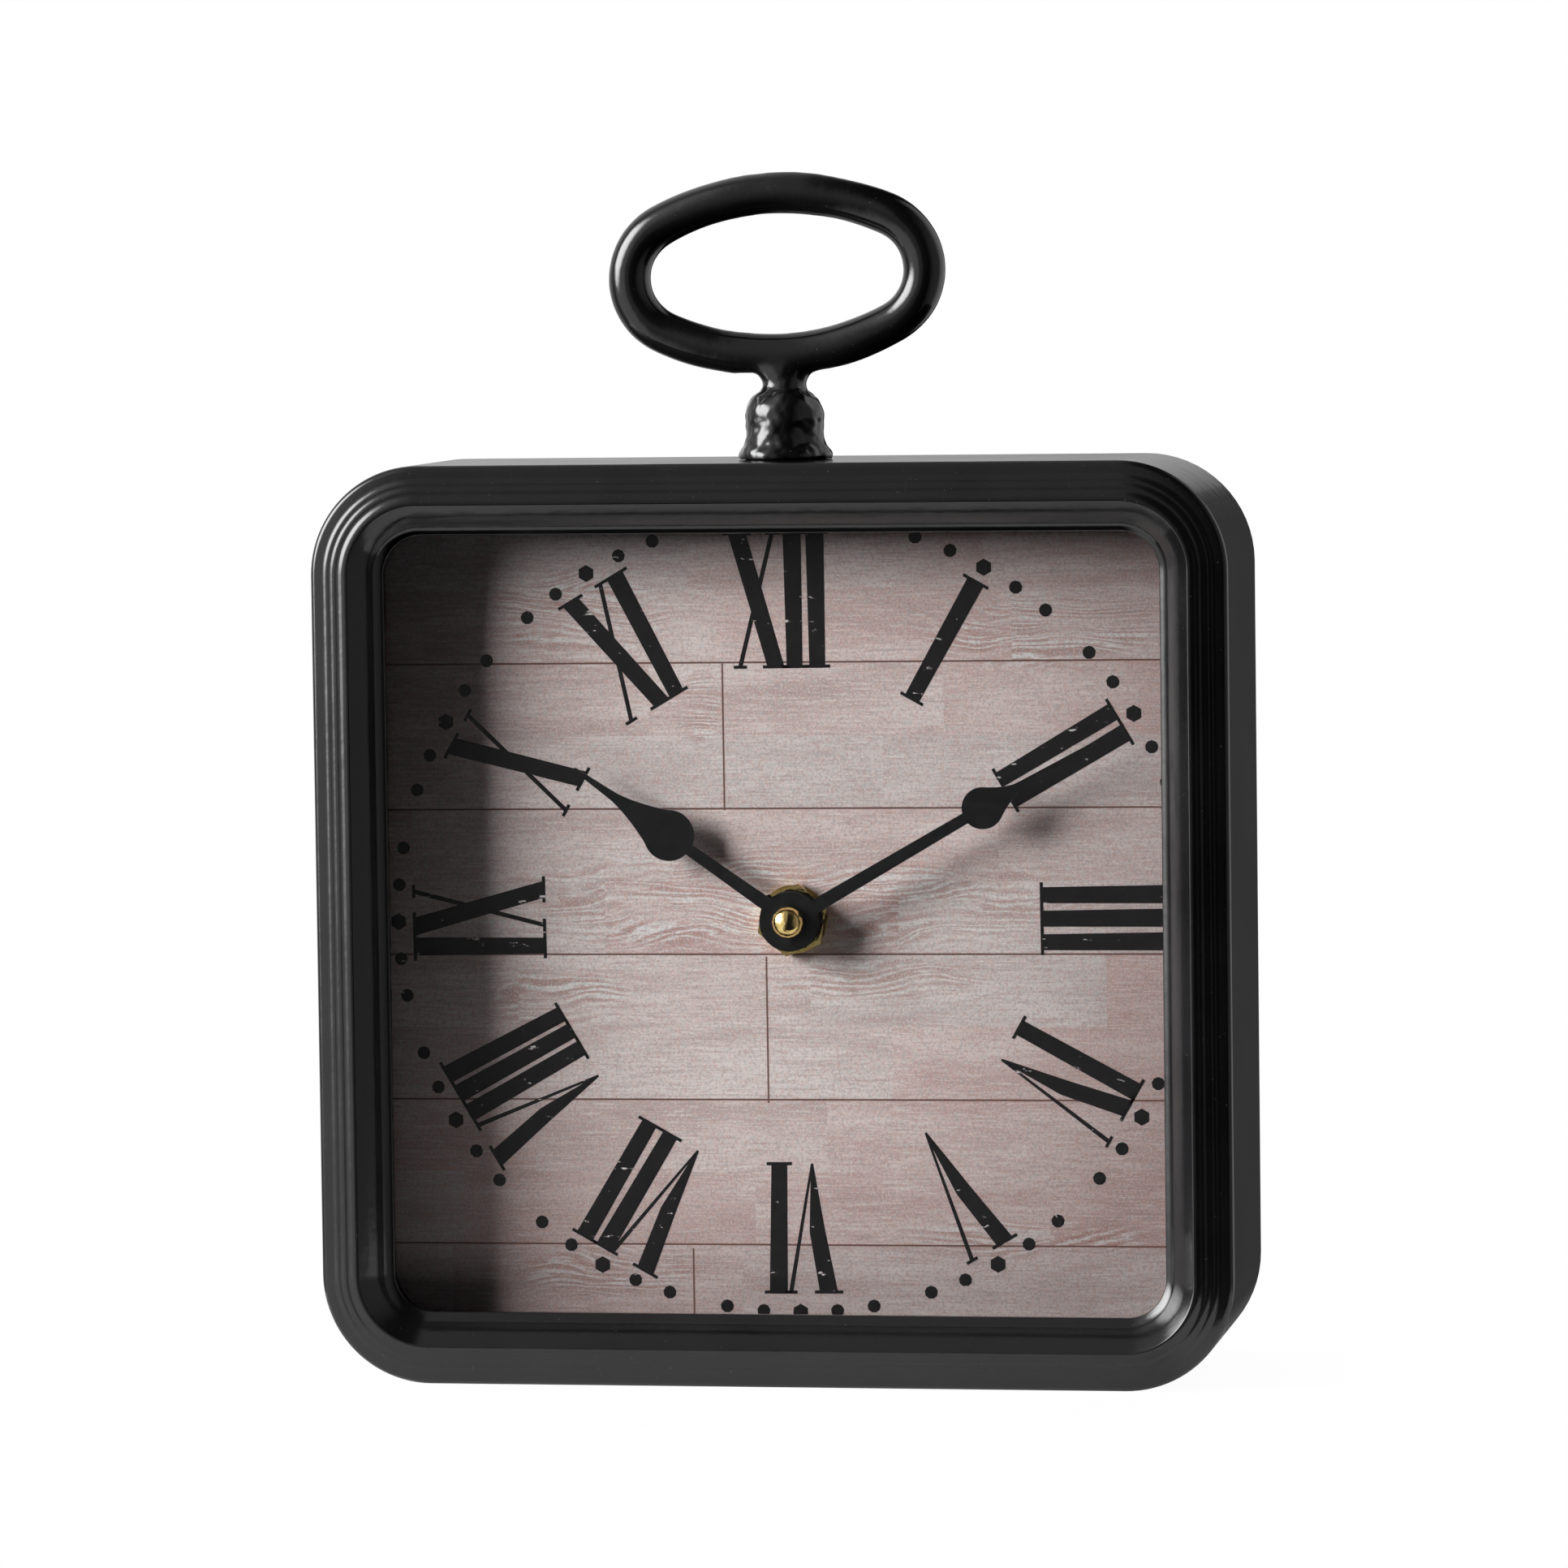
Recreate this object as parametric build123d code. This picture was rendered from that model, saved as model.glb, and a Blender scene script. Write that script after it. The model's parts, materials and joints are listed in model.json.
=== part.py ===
from build123d import *
import math
import os

os.makedirs("parts", exist_ok=True)

# Square table clock. X runs to the right, Y to the back, Z up, in millimetres.
# A depth v is measured backwards from the front plane of the case.
# A level w is measured backwards from the front face of the movement.

# Case
CASE_SIZE = 160.0
CASE_DEPTH = 45.0
CORNER_RADIUS = 19.0
SHEET = 1.0
FIT_GAP = 0.05
REAR_HEM = 3.0
REAR_EDGE_RADIUS = 0.8

# Bezel moulding, from the outer edge inwards
BEZEL_WIDTH = 12.2
EDGE_RADIUS = 1.25
FLAT_DEPTH = 0.9
FLAT_WIDTH = 3.4
STEP_RUN = 0.4
STEP_RISE = 0.4
LEDGE_WIDTH = 0.9
CREST_WIDTH = 1.4
CREST_SAG = 0.1
LIP_WIDTH = 1.2
LIP_DEPTH = 5.2
SLOPE_TURN = 50.0
SPIGOT_LENGTH = 9.7

# Glass, spacer and dial
GLASS_THICKNESS = 1.8
GLASS_INSET = 10.2
DIAL_DEPTH = 18.0
SPACER_WALL = 1.2
SPACER_INSET = 11.6
PRINT_THICKNESS = 0.3
BOARD_THICKNESS = 2.5
DIAL_INSET = 8.2

# Brackets behind the dial
BRACKET_SETBACK = 16.0
BRACKET_SPACING = CASE_SIZE - 2 * (CORNER_RADIUS + BRACKET_SETBACK)
BRACKET_WIDTH = 14.0
BRACKET_REACH = 17.0
BRACKET_LEG = 11.0
BRACKET_SHEET = 1.2
BOARD_SCREW_INSET = 12.5
BOARD_SCREW_RADIUS = 1.4
BOARD_SCREW_HEAD = 2.8

# Back cover
COVER_DEPTH = 36.2
COVER_SHEET = 1.0
COVER_GAP = 0.4
COVER_RIM = 4.8
WINDOW_GAP = 0.5
COVER_SCREW_SETBACK = 11.0
COVER_SCREW_SPACING = CASE_SIZE - 2 * (CORNER_RADIUS + COVER_SCREW_SETBACK)
COVER_SCREW_INSET = 12.0
COVER_SCREW_RADIUS = 1.45
COVER_SCREW_HEAD = 3.0

# Ring handle
HANDLE_DEPTH = 25.0
RING_HALF_WIDTH = 25.8
RING_HALF_HEIGHT = 14.1
RING_END_RADIUS = 10.5
ROD_RADIUS = 3.3
RING_CENTRE_HEIGHT = 32.8
NECK_RADIUS = 3.7
COLLAR_HEIGHT = 11.6
HANDLE_LEAN = 2.2
COLLAR_BASE_RADIUS = 8.2
COLLAR_BODY_RADIUS = 6.5
STUD_RADIUS = 2.45
HANDLE_WASHER_RADIUS = 6.0
HANDLE_NUT_FLATS = 8.0
HANDLE_NUT_HEIGHT = 4.0

# Movement case
MOVEMENT_SIZE = 56.0
MOVEMENT_DEPTH = 16.0
MOVEMENT_WALL = 1.5
MOVEMENT_CORNER = 4.0
RUBBER_THICKNESS = 0.8
BATTERY_RADIUS = 7.1
BATTERY_LENGTH = 50.5
NIPPLE_RADIUS = 2.75
NIPPLE_LENGTH = 1.0
BAY_HEIGHT = 15.2
BAY_WALL = 1.2
CONTACT_SHEET = 0.4
PILLAR_RADIUS = 1.5
PILLAR_INSET = 3.6
BRIDGE_LEVEL = 10.2
BRIDGE_SHEET = 1.0

# Motor and circuit in the movement
MOTOR_ROOM = 0.6
STATOR_RING = 5.4
STATOR_GAP = 4.3
STATOR_LEVEL = 2.6
STATOR_SHEET = 1.0
STATOR_ARM = 3.0
CORE_RISE = 1.0
CORE_WIDTH = 2.8
COIL_RADIUS = 2.5
COIL_SETBACK = 3.4
COIL_STANDOFF = 3.2
CIRCUIT_GAP = 1.5
CIRCUIT_WIDTH = 10.0
CIRCUIT_SHEET = 0.8
CIRCUIT_FOOT = 5.0
CHIP_SIZE = 6.0
CHIP_MARGIN = 2.0
CHIP_LOW = 8.0
CHIP_HEIGHT = 1.0
CRYSTAL_RADIUS = 1.0
CRYSTAL_LENGTH = 6.0
CRYSTAL_DROP = 2.5

# Shaft stack, a little to the right of the middle of the case
SHAFT_SHIFT = 1.6
BUSH_RADIUS = 3.95
BUSH_FLANGE_RADIUS = 5.5
BUSH_FLANGE = 0.8
PIPE_RADIUS = 2.5
ARBOR_RADIUS = 1.6
RUN_GAP = 0.07
DIAL_WASHER_RADIUS = 6.0
DIAL_WASHER_THICKNESS = 0.5
FIXING_NUT_FLATS = 11.2
FIXING_NUT_HEIGHT = 1.8

# Hands
HOUR_LENGTH = 43.0
HOUR_PEAR_CENTRE = 26.0
HOUR_PEAR_RADIUS = 4.45
MINUTE_LENGTH = 62.0
MINUTE_PEAR_CENTRE = 39.5
MINUTE_PEAR_RADIUS = 3.65
HUB_RADIUS = 5.2
HAND_ARM = 2.3
HAND_SHEET = 0.45
HOUR_ANGLE = 305.0
MINUTE_ANGLE = 60.0
HAND_NUT_RADIUS = 2.9

# Wheels
MOTION_MODULE = 0.6
TRAIN_MODULE = 0.3
CANNON_TEETH = 10
MINUTE_WHEEL_TEETH = 30
MINUTE_PINION_TEETH = 8
HOUR_WHEEL_TEETH = 32
CENTRE_TEETH = 64
THIRD_TEETH = 60
SECONDS_TEETH = 48
FIFTH_TEETH = 40
PINION_LEAVES = 8
PIVOT_RADIUS = 0.5
PIVOT_GAP = 0.05
SETTING_SHAFT_RADIUS = 1.2
KNOB_RADIUS = 5.0
KNOB_HEIGHT = 3.6
MAGNET_RADIUS = 3.0

# Places that follow from the sizes
half = CASE_SIZE / 2
centre_z = half
glass_front = LIP_DEPTH + SHEET
glass_back = glass_front + GLASS_THICKNESS
board_front = DIAL_DEPTH + PRINT_THICKNESS
board_back = board_front + BOARD_THICKNESS
movement_front = board_back + RUBBER_THICKNESS
wall = MOVEMENT_WALL
inner_half = MOVEMENT_SIZE / 2 - wall
seam_depth = FLAT_DEPTH + EDGE_RADIUS + 0.15
handle_y = -CASE_DEPTH / 2 + HANDLE_DEPTH
nodes = {}


def y_at(v):
    return -CASE_DEPTH / 2 + v


def slab(sketch, v, depth, x=0.0, z=0.0):
    """Extrude a sketch backwards from depth v, with x and z measured from the shaft."""
    place = Plane(origin=(x, y_at(v), centre_z + z), x_dir=(1, 0, 0), z_dir=(0, -1, 0))
    return extrude(place * sketch, amount=-depth)


def disc(radius, v, depth, x=0.0, z=0.0):
    return slab(Circle(radius), v, depth, x, z)


def tube(radius, bore, v, depth, x=0.0, z=0.0):
    return slab(Circle(radius) - Circle(bore), v, depth, x, z)


def at_level(w):
    return movement_front + w


def block(x0, x1, z0, z1, v, depth):
    """Box from corner to corner, with x and z measured from the shaft."""
    sketch = Rectangle(x1 - x0, z1 - z0)
    return slab(sketch, v, depth, (x0 + x1) / 2, (z0 + z1) / 2)


def rounded(inset):
    """Rounded square that lies a given distance inside the case outline."""
    return RectangleRounded(CASE_SIZE - 2 * inset, CASE_SIZE - 2 * inset, CORNER_RADIUS - inset)


def outline(start, steps, to_point):
    """Face bounded by lines, for one point, and arcs, for a point on the way and the end."""
    edges = []
    here = start
    for step in steps:
        if len(step) == 1:
            edges.append(Line(to_point(here), to_point(step[0])))
        else:
            edges.append(ThreePointArc(to_point(here), to_point(step[0]), to_point(step[1])))
        here = step[-1]
    edges.append(Line(to_point(here), to_point(start)))
    return make_face(edges)


def frame_ring(start, steps):
    """Run a section of inward distance u and depth v round the rounded square."""
    run = CASE_SIZE - 2 * CORNER_RADIUS
    low = centre_z - run / 2
    high = centre_z + run / 2
    corner = half - CORNER_RADIUS
    foot = outline(start, steps, lambda p: (half - p[0], y_at(p[1]), low))
    top = outline(start, steps, lambda p: (half - p[0], y_at(p[1]), high))
    side = extrude(foot, amount=run, dir=(0, 0, 1))
    bend = revolve(top, axis=Axis((corner, 0, high), (0, -1, 0)), revolution_arc=90)
    shaft = Axis((0, 0, centre_z), (0, 1, 0))
    pieces = []
    for quarter in range(4):
        pieces.append(side.rotate(shaft, 90 * quarter))
        pieces.append(bend.rotate(shaft, 90 * quarter))
    return pieces[0] + pieces[1:]


def away(start, distance, angle):
    """Axis at a given distance and direction from another one."""
    turn = math.radians(angle)
    return (start[0] + distance * math.cos(turn), start[1] + distance * math.sin(turn))


def spacing(first, second, module):
    return module * (first + second) / 2


# Axes of the train, seen from the front and measured from the shaft
SETTING_DIRECTION = 180.0
THIRD_DIRECTION = 45.0
SECONDS_DIRECTION = 25.0
FIFTH_DIRECTION = 128.0
ROTOR_DIRECTION = 165.0
shaft_axis = (0.0, 0.0)
setting_axis = away(
    shaft_axis, spacing(CANNON_TEETH, MINUTE_WHEEL_TEETH, MOTION_MODULE), SETTING_DIRECTION
)
third_axis = away(shaft_axis, spacing(CENTRE_TEETH, PINION_LEAVES, TRAIN_MODULE), THIRD_DIRECTION)
seconds_axis = away(third_axis, spacing(THIRD_TEETH, PINION_LEAVES, TRAIN_MODULE), SECONDS_DIRECTION)
fifth_axis = away(seconds_axis, spacing(SECONDS_TEETH, PINION_LEAVES, TRAIN_MODULE), FIFTH_DIRECTION)
rotor_axis = away(fifth_axis, spacing(FIFTH_TEETH, PINION_LEAVES, TRAIN_MODULE), ROTOR_DIRECTION)

# The movement is square unless its motor needs more room above
coil_z = rotor_axis[1] + CORE_RISE + CORE_WIDTH / 2
motor_top = max(coil_z + COIL_RADIUS, rotor_axis[1] + STATOR_RING)
movement_high = max(MOVEMENT_SIZE / 2, motor_top + MOTOR_ROOM + wall)
movement_height = MOVEMENT_SIZE / 2 + movement_high
movement_lift = (movement_high - MOVEMENT_SIZE / 2) / 2


# Front bezel: pressed sheet with a round edge, two steps, a crest, a slope and a lip
step_one = FLAT_WIDTH + STEP_RUN
step_two = step_one + LEDGE_WIDTH
crest_start = step_two + STEP_RUN
crest_end = crest_start + CREST_WIDTH
slope_end = BEZEL_WIDTH - LIP_WIDTH
ledge_depth = FLAT_DEPTH - STEP_RISE
chord_u = slope_end - crest_end
chord_v = LIP_DEPTH - CREST_SAG
chord = math.hypot(chord_u, chord_v)
chord_angle = math.atan2(chord_v, chord_u)
half_turn = math.radians(SLOPE_TURN) / 2
slope_bulge = chord / 2 * math.tan(half_turn / 2)
slope_mid = (
    (crest_end + slope_end) / 2 + slope_bulge * math.sin(chord_angle),
    (CREST_SAG + LIP_DEPTH) / 2 - slope_bulge * math.cos(chord_angle),
)


def behind(point, angle):
    """Point one sheet thickness behind the slope, square to its direction."""
    return (point[0] - SHEET * math.sin(angle), point[1] + SHEET * math.cos(angle))


back_top = behind((crest_end, CREST_SAG), chord_angle - half_turn)
back_mid = behind(slope_mid, chord_angle)
back_low = behind((slope_end, LIP_DEPTH), chord_angle + half_turn)
spigot_outer = SHEET + FIT_GAP
spigot_inner = spigot_outer + SHEET
spigot_end = seam_depth + SPIGOT_LENGTH
edge_mid = EDGE_RADIUS * (1 - math.sqrt(0.5))

bezel_steps = [
    ((0, FLAT_DEPTH + EDGE_RADIUS),),
    ((edge_mid, FLAT_DEPTH + edge_mid), (EDGE_RADIUS, FLAT_DEPTH)),
    ((FLAT_WIDTH, FLAT_DEPTH),),
    ((step_one, ledge_depth),),
    ((step_two, ledge_depth),),
    ((crest_start, CREST_SAG),),
    (((crest_start + crest_end) / 2, 0), (crest_end, CREST_SAG)),
    (slope_mid, (slope_end, LIP_DEPTH)),
    ((BEZEL_WIDTH, LIP_DEPTH),),
    ((BEZEL_WIDTH, glass_front),),
    ((back_low[0], glass_front),),
    (back_low,),
    (back_mid, back_top),
    ((crest_start, CREST_SAG + SHEET),),
    ((step_one, ledge_depth + SHEET),),
    ((FLAT_WIDTH, FLAT_DEPTH + SHEET),),
    ((spigot_inner, FLAT_DEPTH + SHEET),),
    ((spigot_inner, spigot_end),),
    ((spigot_outer, spigot_end),),
    ((spigot_outer, seam_depth),),
]
nodes["front_bezel"] = frame_ring((0, seam_depth), bezel_steps)

# Case band: side wall that the bezel plugs into, hemmed inwards at the back
rear_mid = REAR_EDGE_RADIUS * (1 - math.sqrt(0.5))
band_steps = [
    ((0, CASE_DEPTH - REAR_EDGE_RADIUS),),
    ((rear_mid, CASE_DEPTH - rear_mid), (REAR_EDGE_RADIUS, CASE_DEPTH)),
    ((REAR_HEM, CASE_DEPTH),),
    ((REAR_HEM, CASE_DEPTH - SHEET),),
    ((SHEET, CASE_DEPTH - SHEET),),
    ((SHEET, seam_depth),),
]
case_band = frame_ring((0, seam_depth), band_steps)
stud_hole = Pos(0, handle_y, CASE_SIZE - SHEET / 2) * Cylinder(STUD_RADIUS + 0.15, 3 * SHEET)
nodes["case_band"] = case_band - stud_hole

# Glass pane behind the lip
nodes["glass_pane"] = slab(rounded(GLASS_INSET), glass_front, GLASS_THICKNESS)

# Spacer frame: rim round the glass, wall to the dial, foot out to the case wall
rim_outer = GLASS_INSET - 0.15 - SPACER_WALL
rim_inner = GLASS_INSET - 0.15
foot_front = DIAL_DEPTH - SPACER_WALL
spacer_steps = [
    ((rim_inner, glass_front + 0.2),),
    ((rim_inner, glass_back),),
    ((SPACER_INSET, glass_back),),
    ((SPACER_INSET, DIAL_DEPTH),),
    ((SHEET + 0.4, DIAL_DEPTH),),
    ((SHEET + 0.4, foot_front),),
    ((SPACER_INSET - SPACER_WALL, foot_front),),
    ((SPACER_INSET - SPACER_WALL, glass_back + SPACER_WALL),),
    ((rim_outer, glass_back + SPACER_WALL),),
]
nodes["spacer_frame"] = frame_ring((rim_outer, glass_front + 0.2), spacer_steps)

# Dial print and the board behind it
dial_hole = Pos(SHAFT_SHIFT, 0) * Circle(BUSH_RADIUS + 0.35)
nodes["dial_print"] = slab(rounded(DIAL_INSET) - dial_hole, DIAL_DEPTH, PRINT_THICKNESS)
dial_board = slab(rounded(DIAL_INSET) - dial_hole, board_front, BOARD_THICKNESS)
bracket_places = []
for side in (-1, 1):
    for level in (-1, 1):
        bracket_places.append((side, level * BRACKET_SPACING / 2))
screw_reach = 0.64 * BOARD_THICKNESS
board_screws = []
brackets = []
for side, level in bracket_places:
    screw_x = side * (half - BOARD_SCREW_INSET)
    pilot = disc(BOARD_SCREW_RADIUS + 0.02, board_back - screw_reach - 0.2, 9, screw_x, level)
    dial_board = dial_board - pilot
    shank = disc(BOARD_SCREW_RADIUS, board_back - screw_reach, screw_reach + BRACKET_SHEET, screw_x, level)
    head = disc(BOARD_SCREW_HEAD, board_back + BRACKET_SHEET, 1.6, screw_x, level)
    board_screws.append(shank + head)
    wall_x = side * (half - SHEET)
    tab_x = side * (half - BRACKET_REACH)
    leg_x = side * (half - SHEET - BRACKET_SHEET)
    low = level - BRACKET_WIDTH / 2
    high = level + BRACKET_WIDTH / 2
    tab = block(min(wall_x, tab_x), max(wall_x, tab_x), low, high, board_back, BRACKET_SHEET)
    leg = block(min(wall_x, leg_x), max(wall_x, leg_x), low, high, board_back, BRACKET_LEG)
    hole = disc(BOARD_SCREW_RADIUS + 0.2, board_back - 1, BRACKET_SHEET + 2, screw_x, level)
    brackets.append(tab + leg - hole)
nodes["dial_board"] = dial_board
nodes["dial_brackets"] = Compound(children=brackets)
nodes["dial_board_screws"] = Compound(children=board_screws)

# Back cover: flat pan with a turned rim, a window for the movement and four screws
cover_inset = REAR_HEM + COVER_GAP
window = RectangleRounded(
    MOVEMENT_SIZE + 2 * WINDOW_GAP, movement_height + 2 * WINDOW_GAP, MOVEMENT_CORNER + WINDOW_GAP
)
cover_sketch = rounded(cover_inset) - Pos(SHAFT_SHIFT, movement_lift) * window
cover = slab(cover_sketch, COVER_DEPTH, COVER_SHEET)
rim_sketch = rounded(cover_inset) - rounded(cover_inset + COVER_SHEET)
cover = cover + slab(rim_sketch, COVER_DEPTH, COVER_RIM)
lug_places = []
for side in (-1, 1):
    for level in (-1, 1):
        lug_places.append((side * COVER_SCREW_SPACING / 2, level))
cover_back = COVER_DEPTH + COVER_SHEET
lugs = []
cover_screws = []
for place_x, level in lug_places:
    screw_z = level * (half - COVER_SCREW_INSET)
    hole = disc(COVER_SCREW_RADIUS + 0.25, COVER_DEPTH - 1, COVER_SHEET + 2, place_x, screw_z)
    cover = cover - hole
    shank = disc(COVER_SCREW_RADIUS, COVER_DEPTH - 3.2, 3.2 + COVER_SHEET, place_x, screw_z)
    head = disc(COVER_SCREW_HEAD, cover_back, 1.7, place_x, screw_z)
    cover_screws.append(shank + head)
    wall_z = level * (half - SHEET)
    tab_z = level * (half - BRACKET_REACH)
    leg_z = level * (half - SHEET - BRACKET_SHEET)
    left = place_x - BRACKET_WIDTH / 2
    right = place_x + BRACKET_WIDTH / 2
    tab_front = COVER_DEPTH - BRACKET_SHEET
    leg_front = COVER_DEPTH - BRACKET_LEG
    tab = block(left, right, min(wall_z, tab_z), max(wall_z, tab_z), tab_front, BRACKET_SHEET)
    leg = block(left, right, min(wall_z, leg_z), max(wall_z, leg_z), leg_front, BRACKET_LEG)
    thread = disc(COVER_SCREW_RADIUS + FIT_GAP, tab_front - 1, BRACKET_SHEET + 2, place_x, screw_z)
    lugs.append(tab + leg - thread)
nodes["back_cover"] = cover
nodes["cover_lugs"] = Compound(children=lugs)
nodes["back_cover_screws"] = Compound(children=cover_screws)

# Ring handle: oval of four arcs, flared neck and stud
ring_z = CASE_SIZE + RING_CENTRE_HEIGHT
end_offset = RING_HALF_WIDTH - RING_END_RADIUS
flat_radius = (
    RING_HALF_WIDTH ** 2 + RING_HALF_HEIGHT ** 2 - 2 * RING_HALF_WIDTH * RING_END_RADIUS
) / (2 * (RING_HALF_HEIGHT - RING_END_RADIUS))
flat_offset = flat_radius - RING_HALF_HEIGHT
join_angle = math.degrees(math.atan2(end_offset, flat_offset))


def arc_rod(centre_x, centre_height, radius, start, end):
    """Round rod bent to an arc, with angles measured clockwise from the top."""
    angle = math.radians(start)
    outward = (math.sin(angle), 0, math.cos(angle))
    along = (math.cos(angle), 0, -math.sin(angle))
    origin = (
        centre_x + radius * outward[0],
        handle_y,
        centre_height + radius * outward[2],
    )
    section = Plane(origin=origin, x_dir=outward, z_dir=along) * Circle(ROD_RADIUS)
    axis = Axis((centre_x, handle_y, centre_height), (0, 1, 0))
    return revolve(section, axis=axis, revolution_arc=end - start)


ring = arc_rod(0, ring_z - flat_offset, flat_radius, -join_angle, join_angle)
ring = ring + arc_rod(end_offset, ring_z, RING_END_RADIUS, join_angle, 180 - join_angle)
ring = ring + arc_rod(0, ring_z + flat_offset, flat_radius, 180 - join_angle, 180 + join_angle)
ring = ring + arc_rod(-end_offset, ring_z, RING_END_RADIUS, 180 + join_angle, 360 - join_angle)
lean_axis = Axis((0, handle_y, CASE_SIZE + COLLAR_HEIGHT), (0, 1, 0))
ring = ring.rotate(lean_axis, -HANDLE_LEAN)
lean_slope = math.tan(math.radians(HANDLE_LEAN))
rod_bottom = RING_CENTRE_HEIGHT - RING_HALF_HEIGHT - ROD_RADIUS
neck_sizes = [
    (COLLAR_HEIGHT, 1.08 * NECK_RADIUS, 1.05 * NECK_RADIUS),
    (COLLAR_HEIGHT + 0.35 * (rod_bottom - COLLAR_HEIGHT), NECK_RADIUS, 0.97 * NECK_RADIUS),
    (rod_bottom, 1.32 * NECK_RADIUS, 0.93 * NECK_RADIUS),
    (rod_bottom + 0.55 * ROD_RADIUS, 2.05 * NECK_RADIUS, 0.9 * ROD_RADIUS),
    (rod_bottom + 0.85 * ROD_RADIUS, 2.5 * NECK_RADIUS, 0.8 * ROD_RADIUS),
]
neck_faces = []
for height, half_x, half_y in neck_sizes:
    lean_x = -lean_slope * (height - COLLAR_HEIGHT)
    neck_faces.append(Pos(lean_x, handle_y, CASE_SIZE + height) * Ellipse(half_x, half_y))
neck = loft(neck_faces)
stud_low = CASE_SIZE - SHEET - 1.0 - HANDLE_NUT_HEIGHT - 0.8
stud_length = CASE_SIZE + COLLAR_HEIGHT - stud_low
stud = Pos(0, handle_y, stud_low + stud_length / 2) * Cylinder(STUD_RADIUS, stud_length)
nodes["ring_handle"] = ring + neck + stud

# Bell-shaped collar between the ring and the case
collar_scale = COLLAR_HEIGHT / 11.6
collar_steps = [
    ((COLLAR_BASE_RADIUS, 0),),
    ((COLLAR_BASE_RADIUS, 1.1 * collar_scale),),
    (
        (COLLAR_BODY_RADIUS + 0.55, 2.5 * collar_scale),
        (COLLAR_BODY_RADIUS - 0.05, 4.8 * collar_scale),
    ),
    (
        (COLLAR_BODY_RADIUS + 0.1, 7.0 * collar_scale),
        (COLLAR_BODY_RADIUS - 0.3, 9.2 * collar_scale),
    ),
    (
        (0.5 * COLLAR_BODY_RADIUS + 0.62 * NECK_RADIUS, 10.7 * collar_scale),
        (1.1 * NECK_RADIUS, COLLAR_HEIGHT),
    ),
    ((STUD_RADIUS + 0.1, COLLAR_HEIGHT),),
]
collar_face = outline(
    (STUD_RADIUS + 0.1, 0), collar_steps, lambda p: (p[0], handle_y, CASE_SIZE + p[1])
)
nodes["handle_collar"] = revolve(collar_face, axis=Axis((0, handle_y, 0), (0, 0, 1)))

# Washer and nut that hold the stud inside the top wall
washer_top = CASE_SIZE - SHEET
washer_sketch = Circle(HANDLE_WASHER_RADIUS) - Circle(STUD_RADIUS + 0.15)
nodes["handle_washer"] = extrude(Pos(0, handle_y, washer_top - 1.0) * washer_sketch, amount=1.0)
nut_radius = HANDLE_NUT_FLATS / math.sqrt(3)
nut_sketch = RegularPolygon(nut_radius, 6) - Circle(STUD_RADIUS + FIT_GAP)
nut_place = Pos(0, handle_y, washer_top - 1.0 - HANDLE_NUT_HEIGHT)
nodes["handle_nut"] = extrude(nut_place * nut_sketch, amount=HANDLE_NUT_HEIGHT)


# Toothed wheels
def gear_sketch(teeth, module, phase, pinion=False):
    """Outline with straight flanks and a tooth centred on the phase angle, in degrees."""
    add, dedendum, root_share, tip_share = (0.8, 1.15, 0.26, 0.13)
    if pinion:
        add, dedendum, root_share, tip_share = (0.7, 1.2, 0.21, 0.11)
    pitch = 2 * math.pi / teeth
    root = module * (teeth / 2 - dedendum)
    tip = module * (teeth / 2 + add)
    corners = ((root, -root_share), (tip, -tip_share), (tip, tip_share), (root, root_share))
    points = []
    for tooth in range(teeth):
        middle = math.radians(phase) + tooth * pitch
        for radius, share in corners:
            angle = middle + share * pitch
            points.append((radius * math.cos(angle), radius * math.sin(angle)))
    return make_face(Polyline(*points, close=True))


def in_space(teeth, direction):
    """Phase that turns a tooth space towards a wheel seen in the given direction."""
    return direction + 180 + 180 / teeth


bridge_back = BRIDGE_LEVEL + BRIDGE_SHEET
pivot_start = wall - 0.85
pivot_end = bridge_back - 0.1


def arbor(axis):
    return disc(PIVOT_RADIUS, at_level(pivot_start), pivot_end - pivot_start, axis[0], axis[1])


def toothed(teeth, module, phase, level, depth, axis, pinion=False):
    return slab(gear_sketch(teeth, module, phase, pinion), at_level(level), depth, axis[0], axis[1])


third_pinion = toothed(
    PINION_LEAVES, TRAIN_MODULE, in_space(PINION_LEAVES, THIRD_DIRECTION), 4.5, 1.0, third_axis, True
)
third_body = toothed(THIRD_TEETH, TRAIN_MODULE, SECONDS_DIRECTION, 5.9, 0.8, third_axis)
third_hub = disc(1.1, at_level(5.4), 0.6, *third_axis)
nodes["third_wheel"] = arbor(third_axis) + third_pinion + third_hub + third_body

seconds_pinion = toothed(
    PINION_LEAVES, TRAIN_MODULE, in_space(PINION_LEAVES, SECONDS_DIRECTION), 5.8, 1.0, seconds_axis, True
)
seconds_body = toothed(SECONDS_TEETH, TRAIN_MODULE, FIFTH_DIRECTION, 7.2, 0.8, seconds_axis)
seconds_hub = disc(1.1, at_level(6.75), 0.5, *seconds_axis)
nodes["seconds_wheel"] = arbor(seconds_axis) + seconds_pinion + seconds_hub + seconds_body

fifth_pinion = toothed(
    PINION_LEAVES, TRAIN_MODULE, in_space(PINION_LEAVES, FIFTH_DIRECTION), 7.1, 1.0, fifth_axis, True
)
fifth_body = toothed(FIFTH_TEETH, TRAIN_MODULE, ROTOR_DIRECTION, 8.4, 0.8, fifth_axis)
fifth_hub = disc(1.1, at_level(8.05), 0.4, *fifth_axis)
nodes["fifth_wheel"] = arbor(fifth_axis) + fifth_pinion + fifth_hub + fifth_body

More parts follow.
